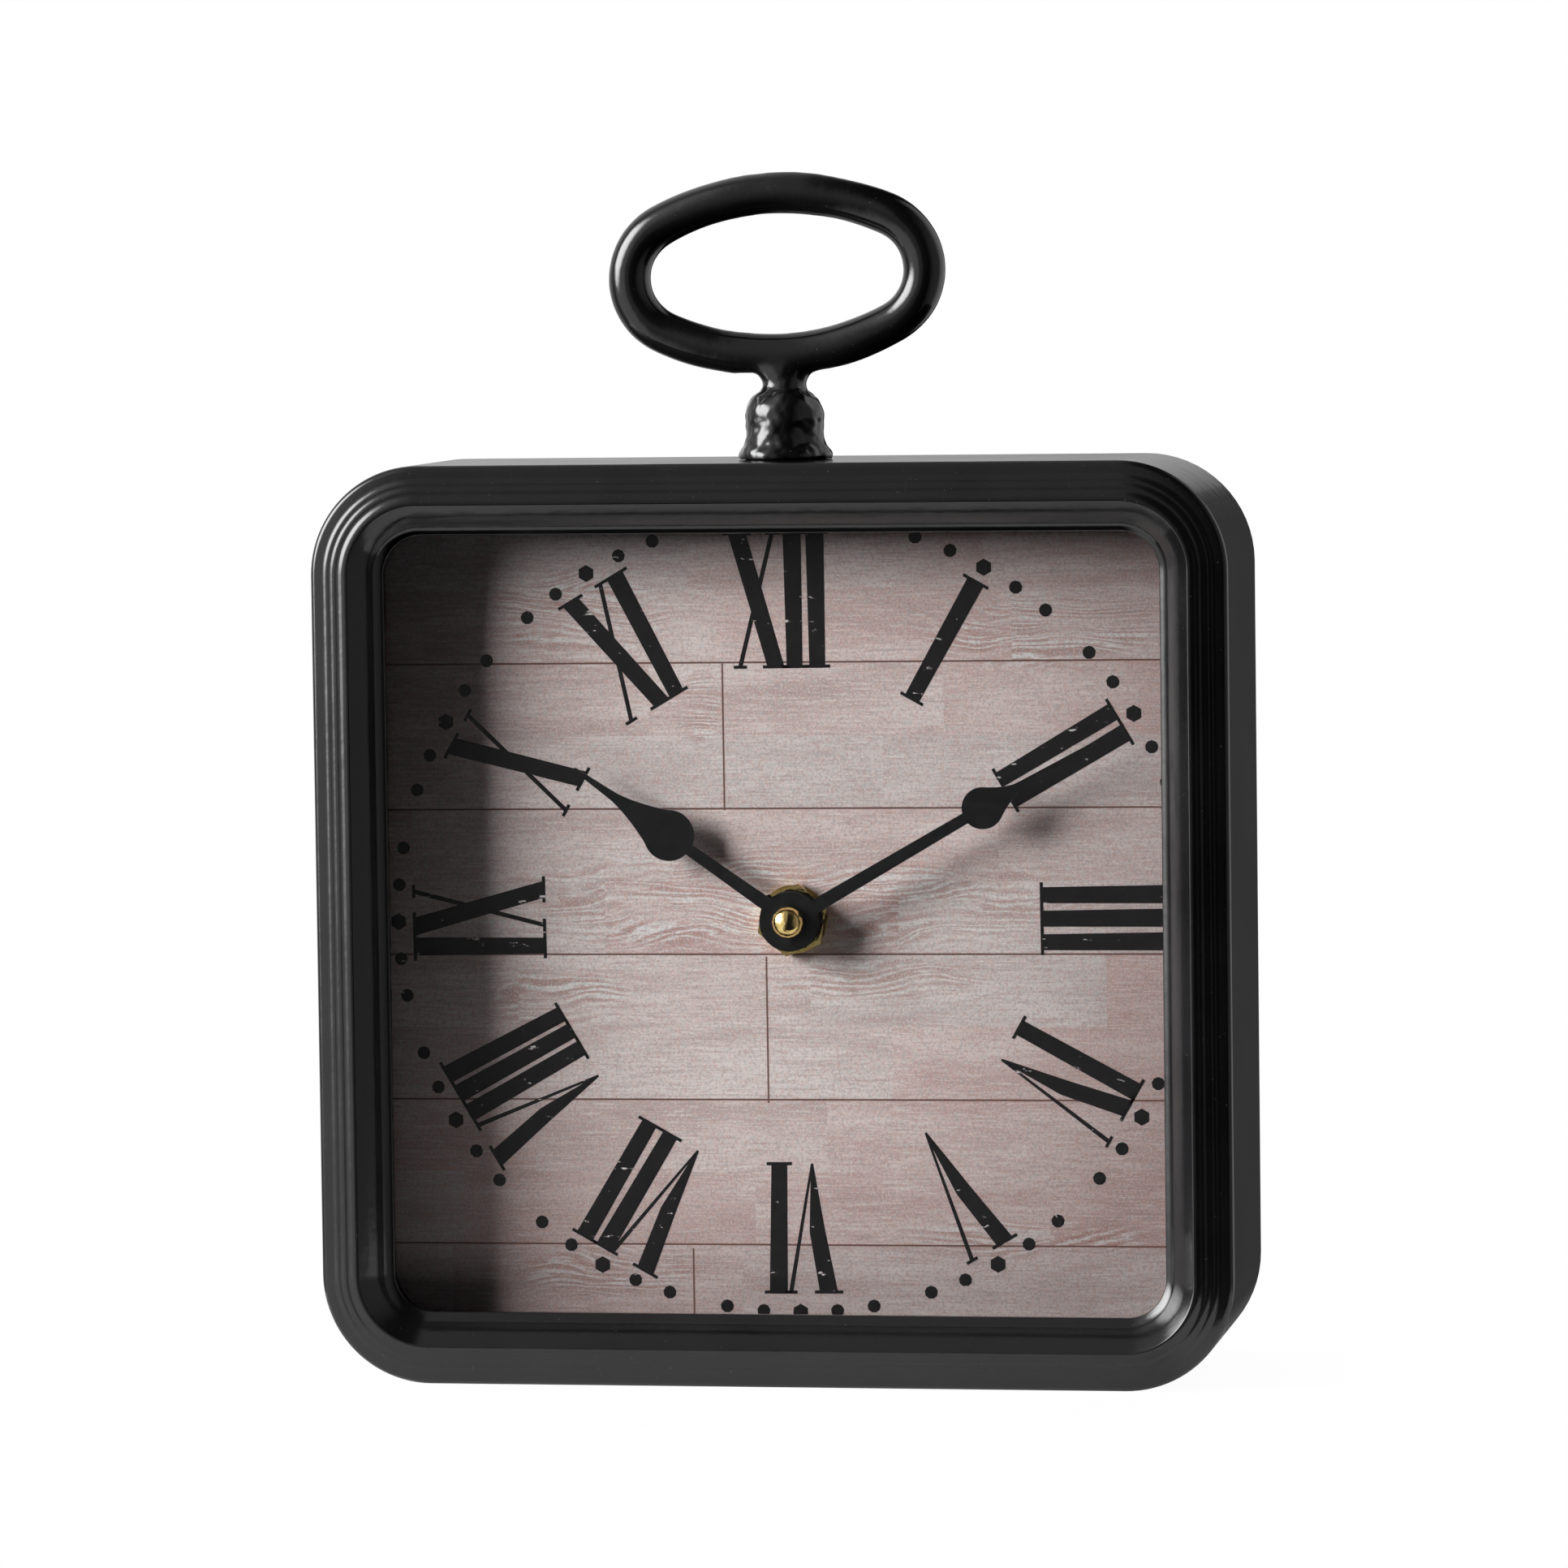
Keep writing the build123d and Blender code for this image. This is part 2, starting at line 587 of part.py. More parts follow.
rotor_leaves = toothed(
    PINION_LEAVES, TRAIN_MODULE, in_space(PINION_LEAVES, ROTOR_DIRECTION), 8.3, 1.0, rotor_axis, True
)
rotor_hub = disc(0.78, at_level(1.8), 2.8, *rotor_axis)
nodes["rotor_pinion"] = arbor(rotor_axis) + rotor_leaves + rotor_hub
nodes["rotor_magnet"] = tube(MAGNET_RADIUS, 0.8, at_level(1.9), 2.5, *rotor_axis)

# Centre wheel on the minute arbor, held by a friction spring
seat_radius = 1.0
centre_body = gear_sketch(CENTRE_TEETH, TRAIN_MODULE, THIRD_DIRECTION) - Circle(seat_radius + FIT_GAP)
nodes["centre_wheel"] = slab(centre_body, at_level(4.6), 0.8)
nodes["friction_spring"] = tube(2.4, seat_radius + 0.02, at_level(5.42), 0.28)

# Minute wheel with its pinion and setting shaft, and the knob at the back
knob_front = MOVEMENT_DEPTH + 0.3
shaft_end = knob_front + KNOB_HEIGHT - 0.8
minute_pinion = toothed(
    MINUTE_PINION_TEETH, MOTION_MODULE, in_space(MINUTE_PINION_TEETH, SETTING_DIRECTION),
    wall + 0.2, 1.2, setting_axis, True,
)
minute_body = toothed(
    MINUTE_WHEEL_TEETH, MOTION_MODULE, in_space(MINUTE_WHEEL_TEETH, SETTING_DIRECTION),
    3.1, 1.0, setting_axis,
)
setting_shaft = disc(SETTING_SHAFT_RADIUS, at_level(wall + 0.1), shaft_end - wall - 0.1, *setting_axis)
setting_pivot = disc(0.8, at_level(pivot_start), 1.0, *setting_axis)
nodes["minute_wheel"] = minute_pinion + minute_body + setting_shaft + setting_pivot
knob_sketch = gear_sketch(24, KNOB_RADIUS / 12.8, 0)
knob = slab(knob_sketch, at_level(knob_front), KNOB_HEIGHT, *setting_axis)
knob_bore = disc(
    SETTING_SHAFT_RADIUS + 0.02, at_level(knob_front - 1), KNOB_HEIGHT + 0.3, *setting_axis
)
nodes["setting_knob"] = knob - knob_bore

# Hour wheel with its pipe through the bush
hour_plane = DIAL_DEPTH - DIAL_WASHER_THICKNESS - FIXING_NUT_HEIGHT
bush_front = hour_plane - 0.3
hour_hand_front = bush_front - 1.4
pipe_front = hour_hand_front - 0.1
hour_level = wall + 0.2
hour_body = toothed(HOUR_WHEEL_TEETH, MOTION_MODULE, SETTING_DIRECTION, hour_level, 1.0, shaft_axis)
hour_pipe = disc(PIPE_RADIUS, pipe_front, at_level(hour_level) + 0.5 - pipe_front)
pipe_bore = disc(ARBOR_RADIUS + RUN_GAP, pipe_front - 1, at_level(hour_level) + 3 - pipe_front)
nodes["hour_wheel"] = hour_body + hour_pipe - pipe_bore

# Minute arbor with the cannon pinion
minute_hand_back = hour_hand_front - 1.2
minute_hand_front = minute_hand_back - HAND_SHEET
tip_radius = 1.4
tip_front = minute_hand_front - 2.2
cannon = toothed(
    CANNON_TEETH, MOTION_MODULE, SETTING_DIRECTION, 3.0, 1.2, shaft_axis, True
)
tip = disc(tip_radius, tip_front, minute_hand_back - tip_front + 0.1)
spindle = disc(ARBOR_RADIUS, minute_hand_back, at_level(3.1) - minute_hand_back)
tail = disc(seat_radius, at_level(4.0), BRIDGE_LEVEL - 4.1)
tail_pivot = disc(0.6, at_level(BRIDGE_LEVEL - 0.3), BRIDGE_SHEET + 0.2)
nodes["minute_arbor"] = cannon + tip + spindle + tail + tail_pivot


# Hands
def hand_sketch(length, pear_centre, pear_radius, bore):
    """Pear hand that points along +Y: hub, arm, round pear and drawn-out tip."""
    arm_half = HAND_ARM / 2
    arm_top = pear_centre - 0.8 * pear_radius
    arm = make_face(
        Polyline(
            (-arm_half * 1.1, 0), (arm_half * 1.1, 0),
            (arm_half * 0.85, arm_top), (-arm_half * 0.85, arm_top), close=True,
        )
    )
    lean = math.radians(38)
    shoulder_x = pear_radius * math.cos(lean)
    shoulder_y = pear_centre + pear_radius * math.sin(lean)
    tip_half = 0.3
    waist_x = 0.3 * shoulder_x
    waist_y = shoulder_y + 0.36 * (length - shoulder_y)
    pear_tip = make_face(
        [
            Line((-shoulder_x, shoulder_y), (shoulder_x, shoulder_y)),
            ThreePointArc((shoulder_x, shoulder_y), (waist_x, waist_y), (tip_half, length)),
            Line((tip_half, length), (-tip_half, length)),
            ThreePointArc((-tip_half, length), (-waist_x, waist_y), (-shoulder_x, shoulder_y)),
        ]
    )
    pear = Pos(0, pear_centre) * Circle(pear_radius)
    return Circle(HUB_RADIUS) + arm + pear + pear_tip - Circle(bore)


hour_sketch = hand_sketch(HOUR_LENGTH, HOUR_PEAR_CENTRE, HOUR_PEAR_RADIUS, PIPE_RADIUS + 0.02)
nodes["hour_hand"] = slab(Rot(0, 0, -HOUR_ANGLE) * hour_sketch, hour_hand_front, HAND_SHEET)
collet_front = hour_hand_front + HAND_SHEET
collet_length = bush_front - 0.2 - collet_front
nodes["hour_hand_collet"] = tube(3.6, PIPE_RADIUS + 0.02, collet_front, collet_length)
minute_sketch = hand_sketch(MINUTE_LENGTH, MINUTE_PEAR_CENTRE, MINUTE_PEAR_RADIUS, tip_radius + 0.02)
nodes["minute_hand"] = slab(Rot(0, 0, -MINUTE_ANGLE) * minute_sketch, minute_hand_front, HAND_SHEET)

# Brass cap nut on the tip of the minute arbor
nut_height = 3.4
dome_height = nut_height - 0.9
dome_top = minute_hand_front - nut_height
dome_radius = (HAND_NUT_RADIUS ** 2 + dome_height ** 2) / (2 * dome_height)
dome_half = math.asin(HAND_NUT_RADIUS / dome_radius) / 2
dome_mid = (dome_radius * math.sin(dome_half), dome_top + dome_radius * (1 - math.cos(dome_half)))
bore_radius = tip_radius + 0.02
bore_end = tip_front - 0.1
nut_steps = [
    ((HAND_NUT_RADIUS, minute_hand_front),),
    ((HAND_NUT_RADIUS, dome_top + dome_height),),
    (dome_mid, (0, dome_top)),
    ((0, bore_end),),
    ((bore_radius, bore_end),),
]
nut_face = outline((bore_radius, minute_hand_front), nut_steps, lambda p: (p[0], y_at(p[1]), centre_z))
nodes["hand_nut"] = revolve(nut_face, axis=Axis((0, 0, centre_z), (0, 1, 0)))

# Threaded bush, rubber washer, brass washer and fixing nut that clamp the movement to the dial
bush = disc(BUSH_RADIUS, bush_front, at_level(wall) - bush_front)
bush = bush + disc(BUSH_FLANGE_RADIUS, movement_front, BUSH_FLANGE)
bush_bore = disc(PIPE_RADIUS + RUN_GAP, bush_front - 1, at_level(wall) + 2 - bush_front)
nodes["threaded_bush"] = bush - bush_bore
nodes["rubber_washer"] = tube(12.0, BUSH_RADIUS + 0.35, board_back, RUBBER_THICKNESS)
washer_front = DIAL_DEPTH - DIAL_WASHER_THICKNESS
nodes["dial_washer"] = tube(
    DIAL_WASHER_RADIUS, BUSH_RADIUS + 0.1, washer_front, DIAL_WASHER_THICKNESS
)
fixing_sketch = RegularPolygon(FIXING_NUT_FLATS / math.sqrt(3), 6) - Circle(BUSH_RADIUS + FIT_GAP)
nodes["fixing_nut"] = slab(fixing_sketch, hour_plane, FIXING_NUT_HEIGHT)

# Movement front case: plate, pillars for the bridge, rests for the stator, pivot holes
square = Pos(0, movement_lift) * RectangleRounded(MOVEMENT_SIZE, movement_height, MOVEMENT_CORNER)
front_case = slab(square, movement_front, wall)
front_case = front_case - disc(BUSH_RADIUS + FIT_GAP, movement_front - 1, wall + 2)
front_case = front_case - disc(BUSH_FLANGE_RADIUS + FIT_GAP, movement_front - 1, 1 + BUSH_FLANGE)
bay_low = -inner_half
bay_high = bay_low + BAY_HEIGHT
chamber_low = bay_high + BAY_WALL
chamber_high = movement_high - wall
pillar_x = MOVEMENT_SIZE / 2 - PILLAR_INSET
pillar_places = [
    (-pillar_x, movement_high - PILLAR_INSET),
    (pillar_x, movement_high - PILLAR_INSET),
    (-pillar_x, chamber_low + 2.0),
    (pillar_x, chamber_low + 2.0),
]
arm_low = rotor_axis[1] - STATOR_RING
arm_high = arm_low + STATOR_ARM
stator_left = -inner_half + STATOR_GAP
core_low = coil_z - CORE_WIDTH / 2
core_high = coil_z + CORE_WIDTH / 2
core_level = STATOR_LEVEL + STATOR_SHEET
core_right = rotor_axis[0] - STATOR_RING + 0.3
for place in pillar_places:
    front_case = front_case + disc(PILLAR_RADIUS, at_level(wall), BRIDGE_LEVEL - wall, *place)
    front_case = front_case + disc(0.8, at_level(BRIDGE_LEVEL), BRIDGE_SHEET + 0.4, *place)
rest_places = [(stator_left + 1.5, arm_low + 1.5), (rotor_axis[0] - 6.5, arm_low + 1.5)]
for place in rest_places:
    front_case = front_case + disc(1.2, at_level(wall), STATOR_LEVEL - wall, *place)
train_axes = [third_axis, seconds_axis, fifth_axis, rotor_axis]
for axis in train_axes:
    front_case = front_case - disc(PIVOT_RADIUS + PIVOT_GAP, at_level(wall - 0.95), 2, *axis)
front_case = front_case - disc(0.8 + PIVOT_GAP, at_level(wall - 0.95), 2, *setting_axis)
nodes["movement_front_case"] = front_case

# Movement back case: walls, back over the gear chamber, open bay for the battery
shell_depth = MOVEMENT_DEPTH - wall
back_case = slab(square, at_level(wall), shell_depth)
back_case = back_case - block(
    -inner_half, inner_half, chamber_low, chamber_high, at_level(wall) - 1, shell_depth - wall + 1
)
back_case = back_case - block(
    -inner_half, inner_half, bay_low, bay_high, at_level(wall) - 1, shell_depth + 2
)
back_case = back_case - disc(SETTING_SHAFT_RADIUS + RUN_GAP, at_level(wall), 30, *setting_axis)
nodes["movement_back_case"] = back_case

# Bridge that carries the back pivots
bridge = block(
    -inner_half + 0.4, inner_half - 0.4, chamber_low + 0.4, chamber_high - 0.4,
    at_level(BRIDGE_LEVEL), BRIDGE_SHEET,
)
for axis in train_axes:
    bridge = bridge - disc(PIVOT_RADIUS + PIVOT_GAP, at_level(BRIDGE_LEVEL) - 1, 3, *axis)
bridge = bridge - disc(0.6 + PIVOT_GAP, at_level(BRIDGE_LEVEL) - 1, 3)
bridge = bridge - disc(SETTING_SHAFT_RADIUS + RUN_GAP, at_level(BRIDGE_LEVEL) - 1, 3, *setting_axis)
for place in pillar_places:
    bridge = bridge - disc(0.8 + FIT_GAP, at_level(BRIDGE_LEVEL) - 1, 3, *place)
nodes["gear_bridge"] = bridge


# Battery cell and its contacts
def along_x(radius, x0, x1, level, z):
    """Round bar that lies across the movement."""
    place = Plane(origin=(x0, y_at(at_level(level)), centre_z + z), z_dir=(1, 0, 0))
    return extrude(place * Circle(radius), amount=x1 - x0)


battery_z = (bay_low + bay_high) / 2
battery_level = wall + 0.15 + BATTERY_RADIUS
battery_left = -BATTERY_LENGTH / 2
can_right = BATTERY_LENGTH / 2 - NIPPLE_LENGTH
can = along_x(BATTERY_RADIUS, battery_left, can_right, battery_level, battery_z)
nipple = along_x(NIPPLE_RADIUS, can_right - 0.5, BATTERY_LENGTH / 2, battery_level, battery_z)
nodes["battery_cell"] = can + nipple
plate_low = battery_z - 4.5
plate_high = battery_z + 4.5
plate_front = at_level(wall + 0.5)
plate_depth = 2 * (battery_level - wall - 0.5)
plus_plate = block(
    inner_half - CONTACT_SHEET, inner_half, plate_low, plate_high, plate_front, plate_depth
)
plus_boss = along_x(2.0, BATTERY_LENGTH / 2 + 0.02, inner_half - 0.1, battery_level, battery_z)
nodes["positive_contact"] = plus_plate + plus_boss
minus_plate = block(
    -inner_half, -inner_half + CONTACT_SHEET, plate_low, plate_high, plate_front, plate_depth
)
minus_boss = along_x(3.0, -inner_half + 0.1, battery_left - 0.02, battery_level, battery_z)
nodes["negative_contact"] = minus_plate + minus_boss

# Circuit board with its chip and crystal
circuit_level = BRIDGE_LEVEL - CIRCUIT_SHEET
circuit_left = -inner_half + CIRCUIT_GAP
circuit_middle = circuit_left + CIRCUIT_WIDTH / 2
nodes["circuit_board"] = block(
    circuit_left, circuit_left + CIRCUIT_WIDTH, chamber_low + CIRCUIT_FOOT, arm_high,
    at_level(circuit_level), CIRCUIT_SHEET,
)
chip_left = circuit_left + CHIP_MARGIN
nodes["timing_chip"] = block(
    chip_left, chip_left + CHIP_SIZE, CHIP_LOW, CHIP_LOW + CHIP_SIZE,
    at_level(circuit_level - CHIP_HEIGHT), CHIP_HEIGHT,
)
crystal_place = Plane(
    origin=(circuit_middle, y_at(at_level(circuit_level - CRYSTAL_RADIUS)), centre_z - CRYSTAL_DROP),
    z_dir=(0, 0, 1),
)
nodes["quartz_crystal"] = extrude(crystal_place * Circle(CRYSTAL_RADIUS), amount=CRYSTAL_LENGTH)

# Stator plate, core, bobbin and winding of the stepping motor
stator = block(stator_left, rotor_axis[0], arm_low, arm_high, at_level(STATOR_LEVEL), STATOR_SHEET)
stator = stator + disc(STATOR_RING, at_level(STATOR_LEVEL), STATOR_SHEET, *rotor_axis)
stator = stator + block(
    stator_left, stator_left + 3, arm_low, core_high, at_level(STATOR_LEVEL), STATOR_SHEET
)
stator = stator + block(
    core_right - 2.8, rotor_axis[0], core_low, core_high, at_level(STATOR_LEVEL), STATOR_SHEET
)
rotor_hole = disc(MAGNET_RADIUS + 0.5, at_level(STATOR_LEVEL) - 1, STATOR_SHEET + 2, *rotor_axis)
nodes["stator_plate"] = stator - rotor_hole
nodes["coil_core"] = block(stator_left, core_right, core_low, core_high, at_level(core_level), 1.0)
coil_level = core_level + 0.5
coil_left = stator_left + COIL_SETBACK
coil_right = core_right - COIL_STANDOFF
slot = block(
    coil_left - 1, coil_right + 1, core_low - 0.02, core_high + 0.02, at_level(core_level) - 0.02, 1.04
)
bobbin = along_x(1.75, coil_left, coil_right, coil_level, coil_z)
bobbin = bobbin + along_x(COIL_RADIUS, coil_left, coil_left + 0.8, coil_level, coil_z)
bobbin = bobbin + along_x(COIL_RADIUS, coil_right - 0.8, coil_right, coil_level, coil_z)
nodes["coil_bobbin"] = bobbin - slot
winding = along_x(COIL_RADIUS - 0.15, coil_left + 0.85, coil_right - 0.85, coil_level, coil_z)
nodes["coil_winding"] = winding - along_x(1.77, coil_left, coil_right, coil_level, coil_z)

# All that is built round the shaft moves with it
case_pieces = (
    "front_bezel", "case_band", "glass_pane", "spacer_frame", "dial_print", "dial_board",
    "dial_brackets", "dial_board_screws", "back_cover", "cover_lugs", "back_cover_screws",
    "ring_handle", "handle_collar", "handle_washer", "handle_nut",
)
for name in nodes:
    if name not in case_pieces:
        nodes[name] = Pos(SHAFT_SHIFT, 0, 0) * nodes[name]

for name, solid in nodes.items():
    export_step(solid, "parts/" + name + ".step")
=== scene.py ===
# %% [markdown]
# # A square table clock with a ring handle
# This lesson dresses a CAD clock for a product picture in Blender. The CAD parts are loaded as a
# fixed frame in metres, with Z up and the dial facing -Y. Every new piece is placed in that same
# frame and rides on one of the clock's bodies, so that the hands and wheels can still turn.

# %% Load the frame and the record of the CAD model
import bmesh
import bpy
import json
import math
from mathutils import Matrix, Vector


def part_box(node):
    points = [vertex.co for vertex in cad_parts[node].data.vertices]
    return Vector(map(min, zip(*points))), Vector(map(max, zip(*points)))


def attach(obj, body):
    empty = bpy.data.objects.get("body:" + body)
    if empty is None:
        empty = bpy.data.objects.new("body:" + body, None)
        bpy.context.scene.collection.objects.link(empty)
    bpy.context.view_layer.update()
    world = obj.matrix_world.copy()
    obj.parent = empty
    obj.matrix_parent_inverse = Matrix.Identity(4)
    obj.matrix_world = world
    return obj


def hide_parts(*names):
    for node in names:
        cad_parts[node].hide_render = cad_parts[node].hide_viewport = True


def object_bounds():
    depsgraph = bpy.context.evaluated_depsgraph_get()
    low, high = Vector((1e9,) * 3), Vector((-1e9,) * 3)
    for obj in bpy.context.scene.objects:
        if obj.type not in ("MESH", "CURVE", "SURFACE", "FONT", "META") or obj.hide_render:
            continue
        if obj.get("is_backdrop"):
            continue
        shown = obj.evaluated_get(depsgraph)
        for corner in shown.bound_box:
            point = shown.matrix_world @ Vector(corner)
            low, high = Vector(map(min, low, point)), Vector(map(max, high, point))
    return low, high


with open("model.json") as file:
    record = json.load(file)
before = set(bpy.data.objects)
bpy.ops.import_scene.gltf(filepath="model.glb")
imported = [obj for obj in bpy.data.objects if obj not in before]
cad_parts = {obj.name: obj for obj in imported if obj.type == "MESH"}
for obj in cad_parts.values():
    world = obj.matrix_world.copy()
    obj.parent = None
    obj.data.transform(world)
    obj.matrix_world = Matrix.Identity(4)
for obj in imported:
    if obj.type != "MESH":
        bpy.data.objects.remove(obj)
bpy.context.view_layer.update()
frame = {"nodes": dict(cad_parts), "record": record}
nodes = frame["nodes"]

# %% [markdown]
# ## Small helpers for shader nodes
# A material is a tree of nodes. Writing every link by hand gets long, so these helpers add a node,
# fill in its inputs and hand back the socket that comes out. Colours are written as screen values
# from 0 to 255 and turned into the linear values that shaders use. All patterns read the Object
# coordinate, scaled to millimetres, so that they stay on the part when it moves.


# %% Define the helpers
def colour(red, green, blue):
    """Linear colour for a shader from screen values between 0 and 255."""
    linear = []
    for value in (red, green, blue):
        share = value / 255
        linear.append(share / 12.92 if share <= 0.04045 else ((share + 0.055) / 1.055) ** 2.4)
    return (*linear, 1.0)


def feed(material, socket, value):
    """Link a socket into an input, or set the input to a plain value."""
    if isinstance(value, bpy.types.NodeSocket):
        material.node_tree.links.new(value, socket)
    else:
        socket.default_value = value


def add(material, kind, inputs, **properties):
    """Add a shader node with its properties and inputs, and return it."""
    node = material.node_tree.nodes.new("ShaderNode" + kind)
    for name, value in properties.items():
        setattr(node, name, value)
    for name, value in inputs.items():
        feed(material, node.inputs[name], value)
    return node


def new_material(name):
    """Make a material and return it with its main shader."""
    material = bpy.data.materials.new(name)
    material.use_nodes = True
    return material, material.node_tree.nodes["Principled BSDF"]


def place_mm(material, centre=(0, 0, 0), stretch=(1, 1, 1)):
    """Object coordinate in millimetres from a centre, with each axis stretched."""
    source = add(material, "TexCoord", {}).outputs["Object"]
    scale = [1000 * s for s in stretch]
    shift = [-c * s for c, s in zip(centre, scale)]
    return add(material, "Mapping", {"Vector": source, "Location": shift, "Scale": scale}).outputs[0]


def maths(material, operation, first, second=0.0):
    """Result of one sum on two values or sockets."""
    return add(material, "Math", {0: first, 1: second}, operation=operation).outputs[0]


def times(material, first, second):
    """Product of two values or sockets."""
    return maths(material, "MULTIPLY", first, second)


def noise(material, vector, scale, detail=2.0, rough=0.5):
    """Cloudy value that changes slowly along a vector."""
    settings = {"Vector": vector, "Scale": scale, "Detail": detail, "Roughness": rough}
    return add(material, "TexNoise", settings).outputs[0]


def spread(material, value, low, high, out_low=0.0, out_high=1.0):
    """Smooth step from one range of values to another."""
    settings = {
        "Value": value, "From Min": low, "From Max": high,
        "To Min": out_low, "To Max": out_high,
    }
    return add(material, "MapRange", settings, interpolation_type="SMOOTHSTEP").outputs[0]


def blend(material, factor, first, second, blend_type="MIX"):
    """Mix two colours by a factor."""
    settings = {0: factor, 6: first, 7: second}
    return add(material, "Mix", settings, data_type="RGBA", blend_type=blend_type).outputs[2]


def bump(material, height, distance):
    """Normal that is bent by a height, with the distance in metres."""
    settings = {"Height": height, "Distance": distance, "Strength": 1.0}
    return add(material, "Bump", settings).outputs[0]


def dress(material, shader, tone, rough, normal):
    """Link a colour, a roughness and a normal into the main shader."""
    for name, value in (("Base Color", tone), ("Roughness", rough), ("Normal", normal)):
        feed(material, shader.inputs[name], value)


print("helpers ready")

# %% [markdown]
# ## Black enamel
# The case, handle and back are steel under a thick coat of black enamel. Enamel is almost black, so
# what the eye sees is reflection: the coat is smooth but not flat, with a slow ripple that
# bends highlights, and a little dust. A noise drives the colour and roughness, and a finer one
# becomes the ripple through a Bump node.


# %% Make the enamel
def enamel_finish(name, rough_low, rough_high, ripple):
    """Black enamel with a little dust, a range of roughness and a ripple."""
    material, shader = new_material(name)
    place = place_mm(material)
    cloud = noise(material, place, 0.05, 3)
    tone = blend(material, spread(material, cloud, 0.3, 0.7), colour(9, 9, 10), colour(15, 15, 16))
    speck = spread(material, noise(material, place, 2.6, 1), 0.76, 0.82, 0.0, 0.3)
    dusty = blend(material, speck, tone, colour(120, 118, 114))
    rough = spread(material, cloud, 0.3, 0.7, rough_low, rough_high)
    dress(material, shader, dusty, rough, bump(material, noise(material, place, 0.3, 2), ripple))
    shader.inputs["Coat Weight"].default_value = 0.15
    shader.inputs["Coat Roughness"].default_value = 0.04
    return material


enamel = enamel_finish("black_enamel", 0.13, 0.18, 0.00004)
satin_enamel = enamel_finish("satin_enamel", 0.34, 0.46, 0.00003)
print("enamel made:", enamel.name, satin_enamel.name)

# %% [markdown]
# ## The printed dial
# The dial is paper printed with whitewashed planks. The print is flat, so a material is the right
# tool. The height on the dial picks the plank, a random number for each half plank slides and tints
# the grain, and stretched noise draws the fibres. A wave on a bent height draws the yearly rings,
# and a few ovals say where the planks were cut slantwise, so that the rings show. Print dots speckle
# it all, and brown lines lie where planks meet. Last, a painted shade darkens the paper from a bright
# spot towards its edge, as light that falls off across the dial.

# %% Set out the planks
PRINT_CENTRE = (0.0012, 0.0, 0.0801)
PLANK_TURN = math.radians(0.15)
PLANK_HEIGHT = 25.52
PLANK_PHASE = 44.78
SEAM_INSIDE = 0.08
SEAM_OUTSIDE = 0.24
BLOCK_WIDTH = 52.0
BLOCK_SHIFT = 9.0
GRAIN_SLIDE = 400.0
# Each upright joint: distance from the middle, then lower and upper end
BUTT_JOINTS = ((-11.6, 18.95, 44.6), (-4.6, -32.35, -6.7), (-18.4, -83.65, -58.0))
# Each oval with rings: middle across, middle up, half width, half height
RING_OVALS = (
    (-4.0, 3.0, 60.0, 10.0), (45.0, 50.0, 24.0, 7.0), (-37.0, 53.0, 18.0, 9.0),
    (-15.4, 37.0, 3.6, 7.5), (-41.0, -14.0, 13.0, 7.0), (14.0, -10.5, 21.0, 4.0),
    (40.0, -56.0, 25.0, 3.5), (-32.0, -62.0, 18.0, 5.0),
)

paper, shader = new_material("dial_paper")
place = place_mm(paper, PRINT_CENTRE)
place = add(paper, "Mapping", {"Vector": place, "Rotation": (0, PLANK_TURN, 0)}).outputs[0]
parts = add(paper, "SeparateXYZ", {0: place})
across, up = parts.outputs[0], parts.outputs[2]
plank_place = maths(paper, "DIVIDE", maths(paper, "SUBTRACT", up, PLANK_PHASE), PLANK_HEIGHT)
half_plank = maths(paper, "FLOOR", times(paper, plank_place, 2.0))
row_chance = add(paper, "TexWhiteNoise", {"W": half_plank}, noise_dimensions="1D").outputs[0]
block_shift = times(paper, row_chance, BLOCK_SHIFT)
block_place = maths(paper, "ADD", maths(paper, "DIVIDE", across, BLOCK_WIDTH), block_shift)
block = maths(paper, "FLOOR", block_place)
block_seed = add(paper, "CombineXYZ", {0: block, 1: half_plank}).outputs[0]
block_chance = add(paper, "TexWhiteNoise", {0: block_seed}, noise_dimensions="2D").outputs[0]
slide = times(paper, block_chance, GRAIN_SLIDE)
grain_x = maths(paper, "ADD", across, slide)


def grain(along, height, upward, detail, rough):
    """Noise that is stretched along the plank, in cycles per millimetre."""
    vector = add(paper, "CombineXYZ", {0: times(paper, grain_x, along), 1: slide,
                                       2: times(paper, height, upward)})
    return noise(paper, vector.outputs[0], 1.0, detail, rough)


def in_oval(middle_x, middle_z, half_width, half_height):
    """One inside an oval on the dial, fading to nothing outside it."""
    settings = {"Vector": place, "Location": (-middle_x / half_width, 0, -middle_z / half_height),
                "Scale": (1 / half_width, 0, 1 / half_height)}
    moved = add(paper, "Mapping", settings).outputs[0]
    distance = add(paper, "VectorMath", {0: moved}, operation="LENGTH").outputs["Value"]
    return spread(paper, distance, 1.15, 0.6)


print("plank height:", PLANK_HEIGHT)

# %% Draw the grain
GRAIN_BEND = 20.0
RING_JITTER = 1.7
RING_SPACING = 3.2
RINGS_PER_MM = 0.85
bend = maths(paper, "SUBTRACT", grain(0.022, up, 0.055, 2, 0.5), 0.5)
bent_up = maths(paper, "ADD", up, times(paper, bend, GRAIN_BEND))
fibre = grain(0.17, up, 3.2, 3, 0.6)
ring_jitter = grain(0.16, up, 0.9, 3, 0.6)
ring_spacing = grain(0.015, bent_up, 0.6, 2, 0.6)
ring_shift = maths(paper, "ADD", times(paper, ring_jitter, RING_JITTER),
                   times(paper, ring_spacing, RING_SPACING))
ring_place = maths(paper, "ADD", bent_up, ring_shift)
ring_turn = times(paper, ring_place, 2 * math.pi * RINGS_PER_MM)
